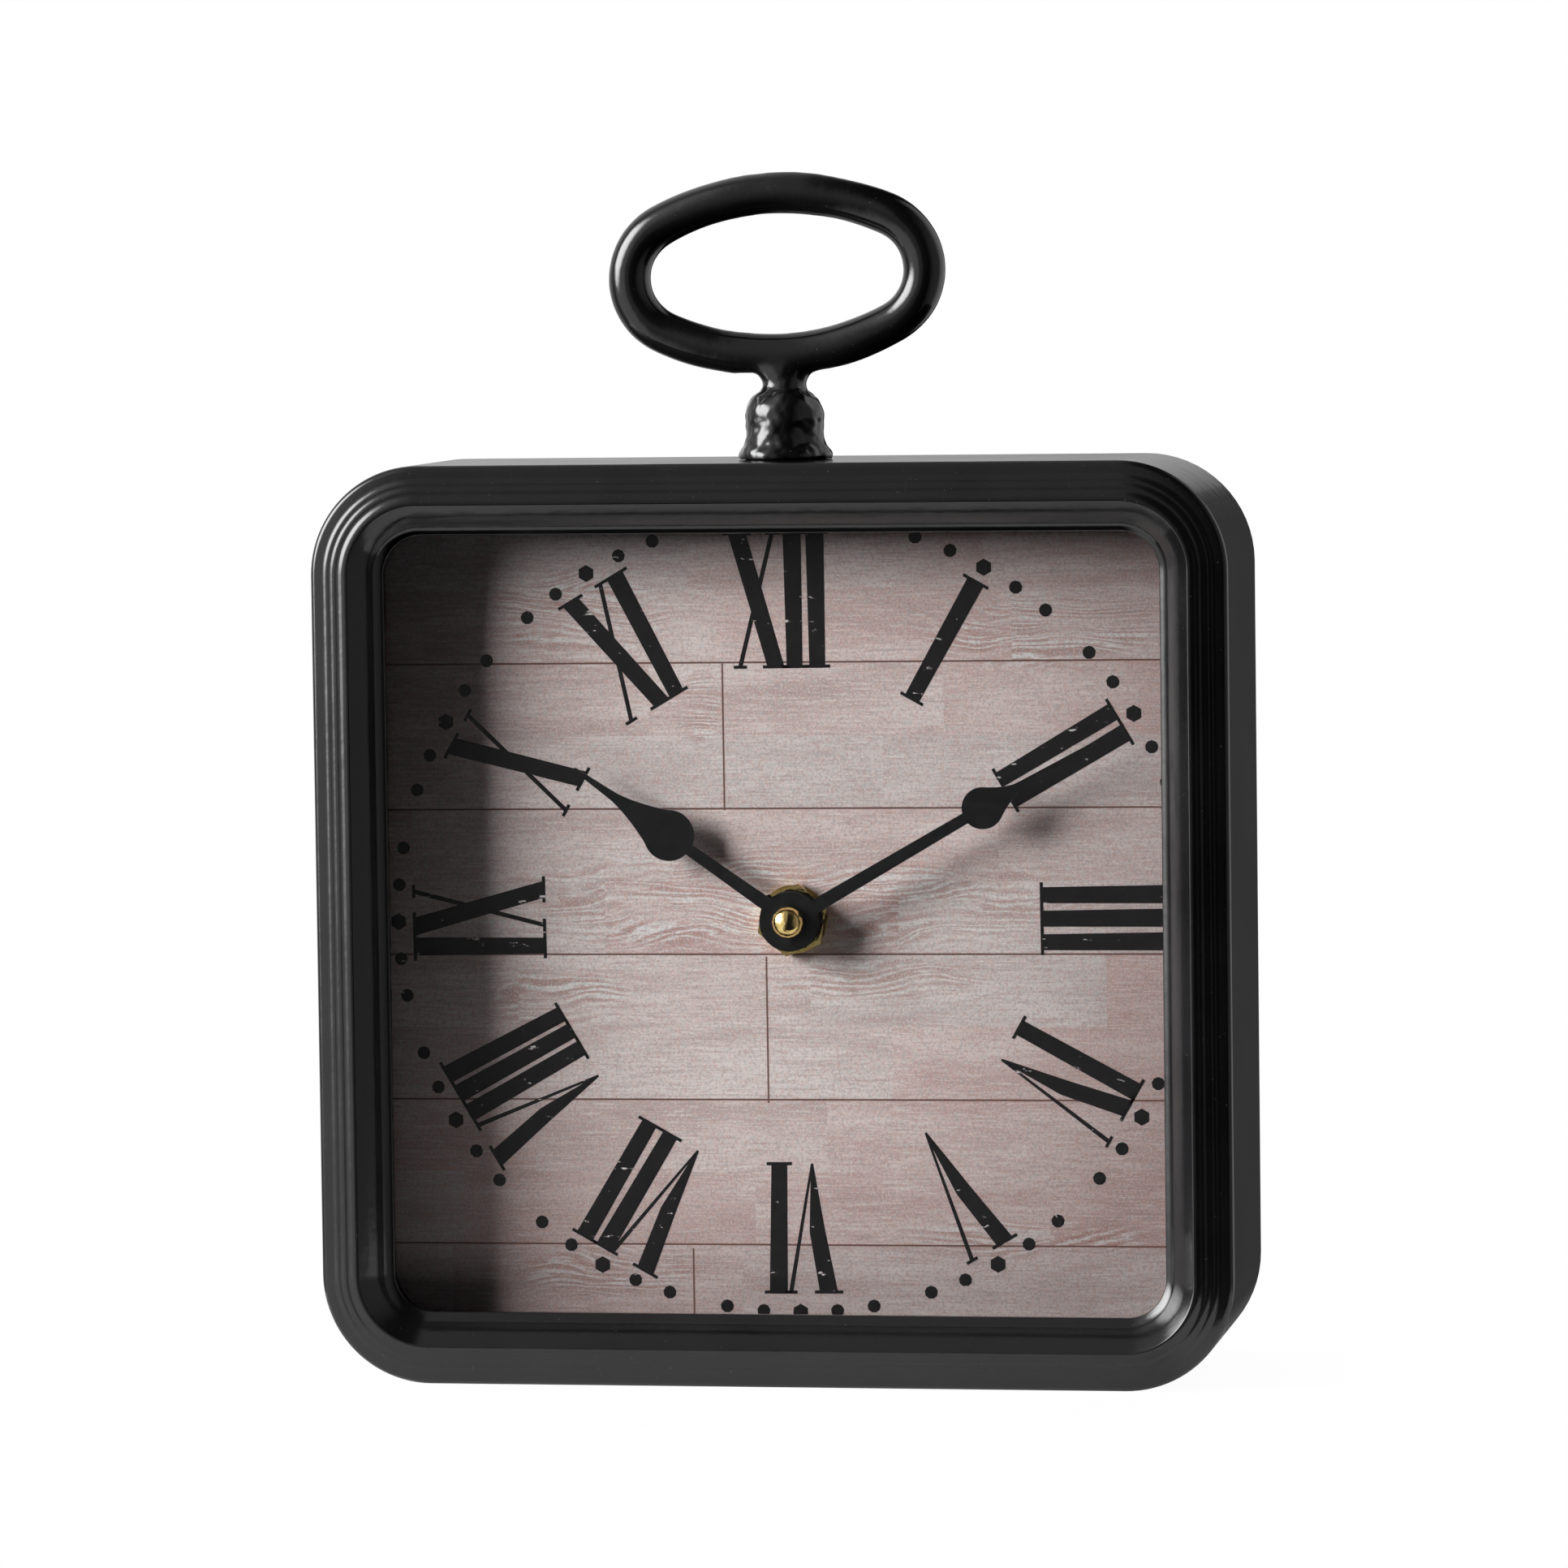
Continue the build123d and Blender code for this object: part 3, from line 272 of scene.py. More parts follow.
ring_wave = maths(paper, "SINE", ring_turn)
cloud = grain(0.03, up, 0.16, 2, 0.5)
dark_speck = spread(paper, noise(paper, place, 2.3, 1), 0.46, 0.66, 0.0, 0.5)
pale_speck = spread(paper, noise(paper, place, 2.9, 1), 0.50, 0.68, 0.0, 0.5)
tint = noise(paper, place, 1.1, 2)
ringed = in_oval(*RING_OVALS[0])
for oval in RING_OVALS[1:]:
    ringed = maths(paper, "MAXIMUM", ringed, in_oval(*oval))
patches = spread(paper, grain(0.07, up, 0.35, 2, 0.5), 0.34, 0.58, 0.25, 1.0)
ringed = times(paper, ringed, patches)
dark_ring = times(paper, spread(paper, ring_wave, -0.1, 0.9, 0.1, 0.64), ringed)
pale_ring = times(paper, spread(paper, ring_wave, -0.4, -0.95, 0.0, 1.0), ringed)
print("ovals with rings:", len(RING_OVALS))

# %% Colour the planks
GREY_WOOD = colour(187, 177, 175)
PINK_WOOD = colour(188, 158, 153)
LIMED_WOOD = colour(214, 206, 204)
DARK_FIBRE = colour(159, 138, 135)
RING_BROWN = colour(148, 106, 97)
RING_PALE = colour(208, 206, 205)
RED_TINT = colour(192, 156, 150)
BLUE_TINT = colour(166, 169, 173)
SEAM_BROWN = colour(86, 54, 47)
PAINTED_FALLOFF_SHADE = colour(194, 187, 187)
FALLOFF_SHADE_START = 34.0
FALLOFF_SHADE_END = 92.0
BRIGHT_ACROSS = -4.0
BRIGHT_UP = 12.0
wood = blend(paper, spread(paper, block_chance, 0.0, 1.0, 0.0, 0.8), GREY_WOOD, PINK_WOOD)
for share, tone in (
    (spread(paper, cloud, 0.40, 0.68, 0.0, 0.5), LIMED_WOOD),
    (spread(paper, cloud, 0.45, 0.25, 0.0, 0.5), DARK_FIBRE),
    (spread(paper, fibre, 0.48, 0.75, 0.0, 0.7), DARK_FIBRE),
    (spread(paper, fibre, 0.50, 0.28, 0.0, 0.7), LIMED_WOOD),
    (dark_ring, RING_BROWN), (pale_ring, RING_PALE),
    (dark_speck, DARK_FIBRE), (pale_speck, LIMED_WOOD),
    (spread(paper, tint, 0.52, 0.66, 0.0, 0.35), RED_TINT),
    (spread(paper, tint, 0.48, 0.34, 0.0, 0.35), BLUE_TINT),
):
    wood = blend(paper, share, wood, tone)
# Painted shade: light is painted as falling off from a bright spot, so the paper darkens towards its
# edge.
settings = {"Vector": place, "Location": (-BRIGHT_ACROSS, 0, -BRIGHT_UP), "Scale": (1, 0, 1)}
bright_spot = add(paper, "Mapping", settings).outputs[0]
from_spot = add(paper, "VectorMath", {0: bright_spot}, operation="LENGTH").outputs["Value"]
painted_falloff_share = spread(paper, from_spot, FALLOFF_SHADE_START, FALLOFF_SHADE_END, 0.0, 0.8)
wood = blend(paper, painted_falloff_share, wood, PAINTED_FALLOFF_SHADE, "MULTIPLY")
print("bright spot at", BRIGHT_ACROSS, BRIGHT_UP)

# %% Draw the seams and finish the paper
fraction = maths(paper, "FRACT", plank_place)
from_seam = times(paper, maths(paper, "PINGPONG", fraction, 0.5), PLANK_HEIGHT)
seam = spread(paper, from_seam, SEAM_OUTSIDE, SEAM_INSIDE)
for joint_x, joint_low, joint_high in BUTT_JOINTS:
    from_joint = maths(paper, "ABSOLUTE", maths(paper, "SUBTRACT", across, joint_x))
    beside = spread(paper, from_joint, SEAM_OUTSIDE, SEAM_INSIDE)
    above = maths(paper, "GREATER_THAN", up, joint_low)
    below = maths(paper, "LESS_THAN", up, joint_high)
    joint = times(paper, beside, times(paper, above, below))
    seam = maths(paper, "MAXIMUM", seam, joint)
wood = blend(paper, times(paper, seam, 0.95), wood, SEAM_BROWN)
paper_rough = spread(paper, fibre, 0.3, 0.7, 0.55, 0.70)
dress(paper, shader, wood, paper_rough, bump(paper, noise(paper, place, 3.0, 2), 0.00001))
shader.inputs["Specular IOR Level"].default_value = 0.2
print("paper nodes:", len(paper.node_tree.nodes))

# %% [markdown]
# ## Small helpers for meshes
# New pieces are built in a bmesh, the mesh that Blender's tools can edit, and become objects at the
# end. CAD parts are never changed. Where a piece starts from one, it is a copy whose faces are first
# joined at their shared corners.

# %% Define the mesh helpers
MERGE_DISTANCE = 0.000001


def verts_of(items):
    """Vertices among the parts of a mesh that an operator returned."""
    return [item for item in items if isinstance(item, bmesh.types.BMVert)]


def merged_copy(*names):
    """Copy CAD parts into one bmesh and join their faces at the corners."""
    mesh = bmesh.new()
    for name in names:
        mesh.from_mesh(nodes[name].data)
    bmesh.ops.remove_doubles(mesh, verts=mesh.verts, dist=MERGE_DISTANCE)
    return mesh


def spin_round(mesh, steps):
    """Spin the lines of a bmesh once round the Y axis."""
    bmesh.ops.spin(mesh, geom=mesh.verts[:] + mesh.edges[:], cent=(0, 0, 0), axis=(0, 1, 0),
                   angle=math.radians(360), steps=steps, use_merge=True)


def link_mesh(name, mesh, material):
    """Turn a bmesh into an object in the scene."""
    data = bpy.data.meshes.new(name)
    mesh.to_mesh(data)
    mesh.free()
    data.materials.append(material)
    made = bpy.data.objects.new(name, data)
    bpy.context.scene.collection.objects.link(made)
    return made


def new_piece(name, mesh, material, body):
    """Turn a bmesh into an object that rides on a body."""
    bmesh.ops.recalc_face_normals(mesh, faces=mesh.faces)
    piece = link_mesh(name, mesh, material)
    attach(piece, body)
    return piece


def shade_smooth(piece):
    """Let the shading run on from face to face."""
    piece.data.polygons.foreach_set("use_smooth", [True] * len(piece.data.polygons))


print("mesh helpers ready")

# %% [markdown]
# ## Numerals and dots
# The Roman numerals stand radially with their tops outwards, and each hour has five dots. They are
# thin plates of ink on the paper: every stroke starts as a grid one face wide whose rows are moved
# to the stroke's foot, bend and head, and the whole set is turned to its hour. Thick, thin and serif
# strokes get slightly different heights, so that no two faces share a plane.

# %% Make the ink
ink, shader = new_material("dial_ink")
place = place_mm(ink, PRINT_CENTRE)
scrape_vector = place_mm(ink, PRINT_CENTRE, (0.5, 1, 1.6))
scrape = noise(ink, scrape_vector, 0.55, 4, 0.65)
bare = spread(ink, scrape, 0.665, 0.695, 0.0, 0.8)
ink_tone = blend(ink, noise(ink, place, 0.4, 3), colour(14, 13, 14), colour(27, 25, 26))
ink_tone = blend(ink, bare, ink_tone, LIMED_WOOD)
ink_rough = spread(ink, scrape, 0.3, 0.7, 0.42, 0.62)
dress(ink, shader, ink_tone, ink_rough, bump(ink, noise(ink, place, 2.0, 2), 0.00001))
shader.inputs["Specular IOR Level"].default_value = 0.15
print("ink nodes:", len(ink.node_tree.nodes))

# %% Make the numerals
PRINT_TURN = math.radians(0.55)
NUMERAL_FOOT = 44.0
NUMERAL_HEAD = 67.3
LOW_NUMERAL = (43.0, 65.6)
INK_STEP = 0.012
HAIR_LAYER = 1
THICK_LAYER = 2
SERIF_LAYER = 3
SERIF_HALF = 0.28
# Legs of each letter: sideways place of foot and head, width there, width of their serifs, layer
LEGS = {
    "I": ((0.0, 0.0, 2.8, 3.2, 4.5, 5.0, THICK_LAYER),),
    "V": ((0.0, -3.3, 0.4, 3.2, 0.0, 5.0, THICK_LAYER), (0.0, 3.4, 0.4, 0.8, 0.0, 2.2, HAIR_LAYER)),
    "X": ((3.2, -3.2, 3.0, 3.2, 4.6, 5.0, THICK_LAYER), (-3.1, 3.0, 0.8, 0.8, 2.3, 2.3, HAIR_LAYER)),
}
# Knee in the thick leg of V: sideways place from its middle, height over the foot, width
V_KNEE = (-1.1, 12, 2.8)
paper_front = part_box("dial_print")[0].y


def stroke(mesh, rows, turn, layer):
    """Flat stroke through rows that each give a sideways place, a radius and a width."""
    steps = len(rows) - 1
    made = bmesh.ops.create_grid(mesh, x_segments=1, y_segments=steps, size=0.5)["verts"]
    for vert in made:
        sideways, radius, width = rows[round(steps * (vert.co.y + 0.5))]
        vert.co.x = sideways + vert.co.x * width
        vert.co.y = radius
    to_dial = Matrix.Rotation(math.radians(90), 4, "X") @ Matrix.Rotation(-turn, 4, "Z")
    to_place = Matrix.Translation((PRINT_CENTRE[0], paper_front, PRINT_CENTRE[2]))
    bmesh.ops.transform(mesh, matrix=to_place @ to_dial @ Matrix.Scale(0.001, 4), verts=made)
    faces = list({face for vert in made for face in vert.link_faces})
    front = verts_of(bmesh.ops.extrude_face_region(mesh, geom=faces)["geom"])
    bmesh.ops.translate(mesh, vec=(0, -layer * INK_STEP / 1000, 0), verts=front)


def serif(mesh, middle, width, radius, turn):
    """Short bar across the end of a stroke."""
    ends = (radius - SERIF_HALF, radius + SERIF_HALF)
    stroke(mesh, [(middle, end, width) for end in ends], turn, SERIF_LAYER)


def letter(mesh, name, foot, head, low, high, turn):
    """Roman letter whose foot and head lie at a sideways distance from the hour's line."""
    for foot_x, head_x, foot_width, head_width, foot_serif, head_serif, layer in LEGS[name]:
        rows = [(foot + foot_x, low, foot_width), (head + head_x, high, head_width)]
        if name == "V" and layer == THICK_LAYER:
            knee_x, knee_up, knee_width = V_KNEE
            rows.insert(1, (foot + 0.5 * (head - foot) + knee_x, low + knee_up, knee_width))
        stroke(mesh, rows, turn, layer)
        ends = ((foot + foot_x, low, foot_serif), (head + head_x, high, head_serif))
        for sideways, radius, width in ends:
            if width > 0:
                serif(mesh, sideways, width, radius, turn)


# Letters of each hour with the sideways place of foot and head
NUMERALS = {
    1: (("I", 0.0, 0.0),),
    2: (("I", -2.1, -2.1), ("I", 2.1, 2.1)),
    3: (("I", -3.7, -3.7), ("I", 0.4, 0.4), ("I", 4.5, 4.5)),
    4: (("I", -3.1, -3.4), ("V", 3.4, 3.2)),
    5: (("V", -0.9, 0.2),),
    6: (("V", -2.6, -1.8), ("I", 3.2, 3.8)),
    7: (("V", -5.1, -3.8), ("I", 0.5, 1.2), ("I", 4.7, 5.2)),
    8: (("V", -6.2, -6.2), ("I", -0.5, -0.2), ("I", 3.0, 3.7), ("I", 6.4, 7.6)),
    9: (("I", -4.4, -4.4), ("X", 2.3, 2.3)),
    10: (("X", 0.0, 0.0),),
    11: (("X", -3.4, -1.8), ("I", 2.9, 4.2)),
    12: (("X", -5.0, -5.0), ("I", 1.5, 1.5), ("I", 5.5, 5.5)),
}
mesh = bmesh.new()
for hour, letters in NUMERALS.items():
    low, high = LOW_NUMERAL if hour == 6 else (NUMERAL_FOOT, NUMERAL_HEAD)
    for name, foot, head in letters:
        letter(mesh, name, foot, head, low, high, math.radians(30 * hour) - PRINT_TURN)
numerals = new_piece("dial_numerals", mesh, ink, "case_body")
print("numeral faces:", len(numerals.data.polygons))

# %% Make the dots
DOT_RING = 70.15
DOT_SPREAD = 5.35
LOW_DOT_LIFT = 1.0
LIFT_START = 61.0
HOUR_DOT = 1.5
SMALL_DOT = 1.18
mesh = bmesh.new()
for hour in range(12):
    for place_in_hour in (-2, -1, 0, 1, 2):
        turn = math.radians(30 * hour + DOT_SPREAD * place_in_hour) - PRINT_TURN
        size = HOUR_DOT if place_in_hour == 0 else SMALL_DOT
        sides = 6 if place_in_hour == 0 else 9
        down = -DOT_RING * math.cos(turn)
        lift = LOW_DOT_LIFT * max(0.0, (down - LIFT_START) / (DOT_RING - LIFT_START))
        at = (
            PRINT_CENTRE[0] + 0.001 * DOT_RING * math.sin(turn),
            paper_front,
            PRINT_CENTRE[2] + 0.001 * (lift - down),
        )
        stand = Matrix.Translation(at) @ Matrix.Rotation(math.radians(90), 4, "X")
        bmesh.ops.create_circle(mesh, cap_ends=True, segments=sides, radius=size / 1000, matrix=stand)
front = verts_of(bmesh.ops.extrude_face_region(mesh, geom=mesh.faces[:])["geom"])
bmesh.ops.translate(mesh, vec=(0, -THICK_LAYER * INK_STEP / 1000, 0), verts=front)
dots = new_piece("dial_dots", mesh, ink, "case_body")
print("dot faces:", len(dots.data.polygons))

# %% [markdown]
# ## A softened bezel
# On the real clock thick enamel rounds every step of the pressed moulding, and these round edges
# carry the three bright streaks at the top left corner. The bezel is one section swept round a
# square with round corners, so the section is drawn once as a face, its corners are rounded with
# a vertex bevel, and it is spun through one corner, drawn out to the middle of two sides and
# mirrored twice.

# %% Draw the section
bezel_low, bezel_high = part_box("front_bezel")
CASE_HALF = 500 * (bezel_high.x - bezel_low.x)
CASE_CORNER = 19.0
SPIGOT_END = 1000 * (bezel_high.y - bezel_low.y)
SEAM_DEPTH = 2.3
# Each corner of the section: distance in from the edge, depth behind the crest, rounding
BEZEL_SECTION = (
    (0.0, SEAM_DEPTH, 0.0), (0.0, 1.25, 1.0), (2.3, 1.03, 0.28), (3.0, 0.73, 0.28),
    (3.6, 0.70, 0.22), (4.3, 0.43, 0.28), (5.1, 0.40, 0.25), (6.05, 0.0, 0.4), (6.8, 0.0, 0.12),
    (9.2, 2.28, 1.2), (11.0, 4.7, 0.9), (12.2, 5.2, 0.25), (12.2, 6.2, 0.0), (10.3, 6.2, 0.0),
    (6.2, 1.2, 0.5), (2.05, 1.9, 0.3), (2.05, SPIGOT_END, 0.0), (1.05, SPIGOT_END, 0.0),
    (1.05, SEAM_DEPTH, 0.0),
)


def sweep_round_case(section):
    """Round the corners of a section and sweep it round the square case."""
    mesh = bmesh.new()
    corner = CASE_HALF - CASE_CORNER
    outline = []
    for inward, depth, rounding in section:
        outline.append(mesh.verts.new((CASE_HALF - inward, depth, corner)))
    mesh.faces.new(outline)
    for vert, (inward, depth, rounding) in zip(outline, section):
        if rounding > 0:
            bmesh.ops.bevel(mesh, geom=[vert], offset=rounding, segments=7, profile=0.5,
                            affect="VERTICES", material=-1)
    bmesh.ops.delete(mesh, geom=mesh.faces[:], context="FACES_ONLY")
    start = mesh.verts[:] + mesh.edges[:]
    spun = bmesh.ops.spin(mesh, geom=start, cent=(corner, 0, corner), axis=(0, 1, 0),
                          angle=math.radians(-90), steps=24)["geom_last"]
    for ends, axis in ((start, 2), (spun, 0)):
        edges = [item for item in ends if isinstance(item, bmesh.types.BMEdge)]
        drawn = bmesh.ops.extrude_edge_only(mesh, edges=edges)["geom"]
        for item in drawn:
            if isinstance(item, bmesh.types.BMVert):
                item.co[axis] = 0.0
    for axis in ("X", "Z"):
        everything = mesh.verts[:] + mesh.edges[:] + mesh.faces[:]
        bmesh.ops.mirror(mesh, geom=everything, axis=axis, merge_dist=0.001)
    bmesh.ops.remove_doubles(mesh, verts=mesh.verts, dist=0.001)
    bmesh.ops.scale(mesh, vec=(0.001, 0.001, 0.001), verts=mesh.verts)
    bmesh.ops.translate(mesh, vec=(0, bezel_low.y, (bezel_low.z + bezel_high.z) / 2), verts=mesh.verts)
    return mesh


print("corners of the section:", len(BEZEL_SECTION))

# %% Make the bezel
bezel = new_piece("bezel_enamel", sweep_round_case(BEZEL_SECTION), enamel, "case_body")
shade_smooth(bezel)
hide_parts("front_bezel")
print("bezel faces:", len(bezel.data.polygons))

# %% [markdown]
# ## Thick enamel on the handle
# The ring and its foot were dipped together, so the enamel closes the joint between them, softens
# every edge and sets in small runs round the foot. Both CAD parts are copied and joined, a voxel
# Remesh turns them into one even skin and Smooth rounds it. Displace with a Clouds texture then
# raises the runs, and a vertex group keeps them to the foot and the neck. A second group lets slow
# waves run over all that stands above the case.

# %% Join the ring and its foot under one skin
RING_DROP = 0.0005
RING_WIDEN = 1.012
RING_LOW = 0.1757
SKIN_VOXEL = 0.0004
FOOT_TOP = 0.1735


def apply_modifiers(piece):
    """Keep the shape that the modifiers make and take them off."""
    bpy.context.view_layer.update()
    shaped = piece.evaluated_get(bpy.context.evaluated_depsgraph_get())
    data = bpy.data.meshes.new_from_object(shaped)
    piece.modifiers.clear()
    piece.data = data


handle_enamel = enamel_finish("handle_enamel", 0.09, 0.18, 0.00006)
mesh = merged_copy("ring_handle", "handle_collar")
ring_verts = [vert for vert in mesh.verts if vert.co.z > RING_LOW]
right_end = max(vert.co.x for vert in ring_verts)
bmesh.ops.translate(mesh, vec=(0, 0, -RING_DROP), verts=ring_verts)
from_right = Matrix.Translation((-right_end, 0, 0))
bmesh.ops.scale(mesh, vec=(RING_WIDEN, 1, 1), verts=ring_verts, space=from_right)
handle = new_piece("handle_enamel", mesh, handle_enamel, "case_body")
skin_maker = handle.modifiers.new("skin", "REMESH")
skin_maker.mode = "VOXEL"
skin_maker.voxel_size = SKIN_VOXEL
skin_maker.use_smooth_shade = True
rounding = handle.modifiers.new("rounding", "SMOOTH")
rounding.factor = 0.5
rounding.iterations = 45
apply_modifiers(handle)
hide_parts("ring_handle", "handle_collar")
print("handle faces:", len(handle.data.polygons))

# %% Raise the runs of enamel
CASE_TOP = bezel_high.z
SEAT_RIM = 0.0002
FOOT_FADE = 0.003
outside_group = handle.vertex_groups.new(name="outside_the_case")
foot_group = handle.vertex_groups.new(name="foot_and_neck")
for vert in handle.data.vertices:
    if vert.co.z > CASE_TOP + SEAT_RIM:
        share = min(1.0, (FOOT_TOP + FOOT_FADE - vert.co.z) / FOOT_FADE)
        outside_group.add([vert.index], 1.0, "REPLACE")
        foot_group.add([vert.index], max(0.0, share), "REPLACE")
for name, grain_size, height, level, group in (
    ("runs", 0.0055, 0.0009, 0.65, "foot_and_neck"), ("drips", 0.0024, 0.0006, 0.5, "foot_and_neck"),
    ("slow_waves", 0.014, 0.0004, -0.6, "outside_the_case"),
):
    clouds = bpy.data.textures.new(name, "CLOUDS")
    clouds.noise_scale = grain_size
    clouds.noise_depth = 1
    raising = handle.modifiers.new(name, "DISPLACE")
    raising.texture = clouds
    raising.texture_coords = "LOCAL"
    raising.strength = height
    raising.mid_level = level
    raising.vertex_group = group
apply_modifiers(handle)

# Enamel that ran below the rim of the foot is set level with the top of the case
STUD_CLEAR = 0.003
washer_low, washer_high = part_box("handle_washer")
stud_middle = (washer_low + washer_high) / 2
for vert in handle.data.vertices:
    from_stud = math.hypot(vert.co.x - stud_middle.x, vert.co.y - stud_middle.y)
    if from_stud > STUD_CLEAR and vert.co.z < CASE_TOP:
        vert.co.z = CASE_TOP
print("handle size:", [round(v, 4) for v in handle.dimensions])

# %% [markdown]
# ## A polished cap nut
# The brass nut that holds the minute hand is a smooth dome. Its section is a face with two plain
# corners in front, vertex bevels turn these into the curve of the dome, and a full spin about the
# shaft makes the nut. A blind bore from behind leaves room for the end of the arbor.

# %% Turn the cap nut
nut_low, nut_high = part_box("hand_nut")
NUT_RADIUS = 500 * (nut_high.x - nut_low.x)
NUT_HEIGHT = 1000 * (nut_high.y - nut_low.y)
BORE_RADIUS = 1.42
BORE_GAP = 0.1
BORE_END = 1000 * (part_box("minute_arbor")[0].y - nut_low.y) - BORE_GAP
CROWN_RADIUS = 1.2
CROWN_DEPTH = 1.5
brass_polish, shader = new_material("brass_polish")
place = place_mm(brass_polish)
drift = noise(brass_polish, place, 0.9, 3)
brass_tone = blend(brass_polish, drift, colour(226, 190, 108), colour(250, 224, 156))
brass_rough = spread(brass_polish, drift, 0.3, 0.7, 0.05, 0.16)
ripple = noise(brass_polish, place, 1.6, 2)
dress(brass_polish, shader, brass_tone, brass_rough, bump(brass_polish, ripple, 0.00005))
shader.inputs["Metallic"].default_value = 1.0

mesh = bmesh.new()
corners = [mesh.verts.new(point) for point in (
    (0, 0, 0), (CROWN_RADIUS, 0, 0), (NUT_RADIUS, CROWN_DEPTH, 0), (NUT_RADIUS, NUT_HEIGHT, 0),
    (BORE_RADIUS, NUT_HEIGHT, 0), (BORE_RADIUS, BORE_END, 0), (0, BORE_END, 0),
)]
mesh.faces.new(corners)
for corner_vert, rounding in ((corners[1], 1.15), (corners[2], 1.0)):
    bmesh.ops.bevel(mesh, geom=[corner_vert], offset=rounding, segments=10, profile=0.5,
                    affect="VERTICES", material=-1)
bmesh.ops.delete(mesh, geom=mesh.faces[:], context="FACES_ONLY")
on_axis = [edge for edge in mesh.edges if max(vert.co.x for vert in edge.verts) < 0.001]
bmesh.ops.delete(mesh, geom=on_axis, context="EDGES")
spin_round(mesh, 48)
bmesh.ops.remove_doubles(mesh, verts=mesh.verts, dist=0.0005)
bmesh.ops.scale(mesh, vec=(0.001, 0.001, 0.001), verts=mesh.verts)
nut_middle = (nut_low + nut_high) / 2
bmesh.ops.translate(mesh, vec=(nut_middle.x, nut_low.y, nut_middle.z), verts=mesh.verts)
cap_nut = new_piece("cap_nut_dome", mesh, brass_polish, "minute_hand_set")
shade_smooth(cap_nut)
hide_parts("hand_nut")
print("cap nut faces:", len(cap_nut.data.polygons), "bore ends at", round(BORE_END, 2), "mm")

# %% Turn the fixing nut as it was tightened
FIXING_NUT_TURN = math.radians(40)
fixing_low, fixing_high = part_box("fixing_nut")
fixing_middle = (fixing_low + fixing_high) / 2
mesh = merged_copy("fixing_nut")
tightened = Matrix.Rotation(FIXING_NUT_TURN, 3, "Y")
bmesh.ops.rotate(mesh, cent=fixing_middle, matrix=tightened, verts=mesh.verts)
fixing_nut = new_piece("fixing_nut_tight", mesh, brass_polish, "case_body")
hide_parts("fixing_nut")
print("fixing nut faces:", len(fixing_nut.data.polygons))

# %% [markdown]
# ## Plain finishes inside the case
# Most inner parts need the same few things: two tones that drift into each other, a roughness that
# follows them and a fine surface. One function makes them all from a short list, and metals differ
# only in their Metallic value.


# %% Make the simple finishes
def simple_finish(name, dark, light, rough_low, rough_high, metal, scale, height):
    """Two drifting tones with a range of roughness and a fine bump."""
    material, shader = new_material(name)
    place = place_mm(material)
    drift = noise(material, place, scale, 4, 0.6)
    tone = blend(material, spread(material, drift, 0.3, 0.7), colour(*dark), colour(*light))
    rough = spread(material, drift, 0.3, 0.7, rough_low, rough_high)
    fine = noise(material, place, 6 * scale, 2)
    dress(material, shader, tone, rough, bump(material, fine, height))
    shader.inputs["Metallic"].default_value = metal
    return material


FINISHES = {
    "black_plastic": ((20, 20, 21), (30, 30, 31), 0.42, 0.58, 0.0, 0.5, 0.00003),
    "fibreboard": ((122, 92, 62), (158, 124, 86), 0.75, 0.9, 0.0, 0.6, 0.00006),
    "zinc_steel": ((148, 150, 152), (188, 189, 190), 0.24, 0.42, 1.0, 0.4, 0.00001),
    "brass": ((212, 172, 92), (240, 206, 128), 0.08, 0.2, 1.0, 0.5, 0.00001),
    "black_hands": ((13, 13, 14), (22, 22, 23), 0.34, 0.5, 0.0, 0.6, 0.00001),
    "gear_plastic": ((214, 208, 192), (232, 228, 216), 0.4, 0.55, 0.0, 0.6, 0.00001),
    "soft_rubber": ((24, 24, 25), (38, 38, 39), 0.72, 0.88, 0.0, 0.8, 0.00004),
    "circuit_laminate": ((30, 84, 48), (46, 108, 62), 0.35, 0.5, 0.0, 0.8, 0.00001),
    "epoxy_black": ((14, 14, 15), (26, 26, 27), 0.3, 0.5, 0.0, 0.7, 0.00004),
    "bright_can": ((172, 172, 170), (204, 203, 200), 0.14, 0.26, 1.0, 0.5, 0.00001),
    "bobbin_plastic": ((206, 204, 196), (222, 220, 212), 0.45, 0.6, 0.0, 0.6, 0.00001),
    "ferrite": ((52, 52, 55), (74, 74, 78), 0.4, 0.6, 0.6, 0.8, 0.00002),
}
finishes = {name: simple_finish(name, *values) for name, values in FINISHES.items()}
hand_shader = finishes["black_hands"].node_tree.nodes["Principled BSDF"]
hand_shader.inputs["Specular IOR Level"].default_value = 0.15
print("finishes:", len(finishes))

# %% [markdown]
# ## Hands with a long point
# Each hand is a flat pear drawn out to a point. In the CAD the point is one plain arc that thins to a
# hair. On the real clock a hollow shoulder runs out into a straight taper. The CAD hand is copied and
# merged, and each vertex past the shoulder moves to the width that the point has there.

# %% Shape the hands
FLARE_POWER = 1.6
SHOULDER_SLACK = 0.02
# Each hand in mm from the shaft: body, angle in degrees, shoulder, half width there, half width of the
# straight taper at the shoulder and at the tip, length of the hollow flare, tip in the CAD, tip here
HANDS = {
    "hour_hand": ("hour_hand_set", 305.0, 28.74, 3.51, 1.26, 0.29, 9.6, 43.0, 46.3),
    "minute_hand": ("minute_hand_set", 60.0, 41.75, 2.88, 1.0, 0.2, 5.0, 62.0, 62.0),
}


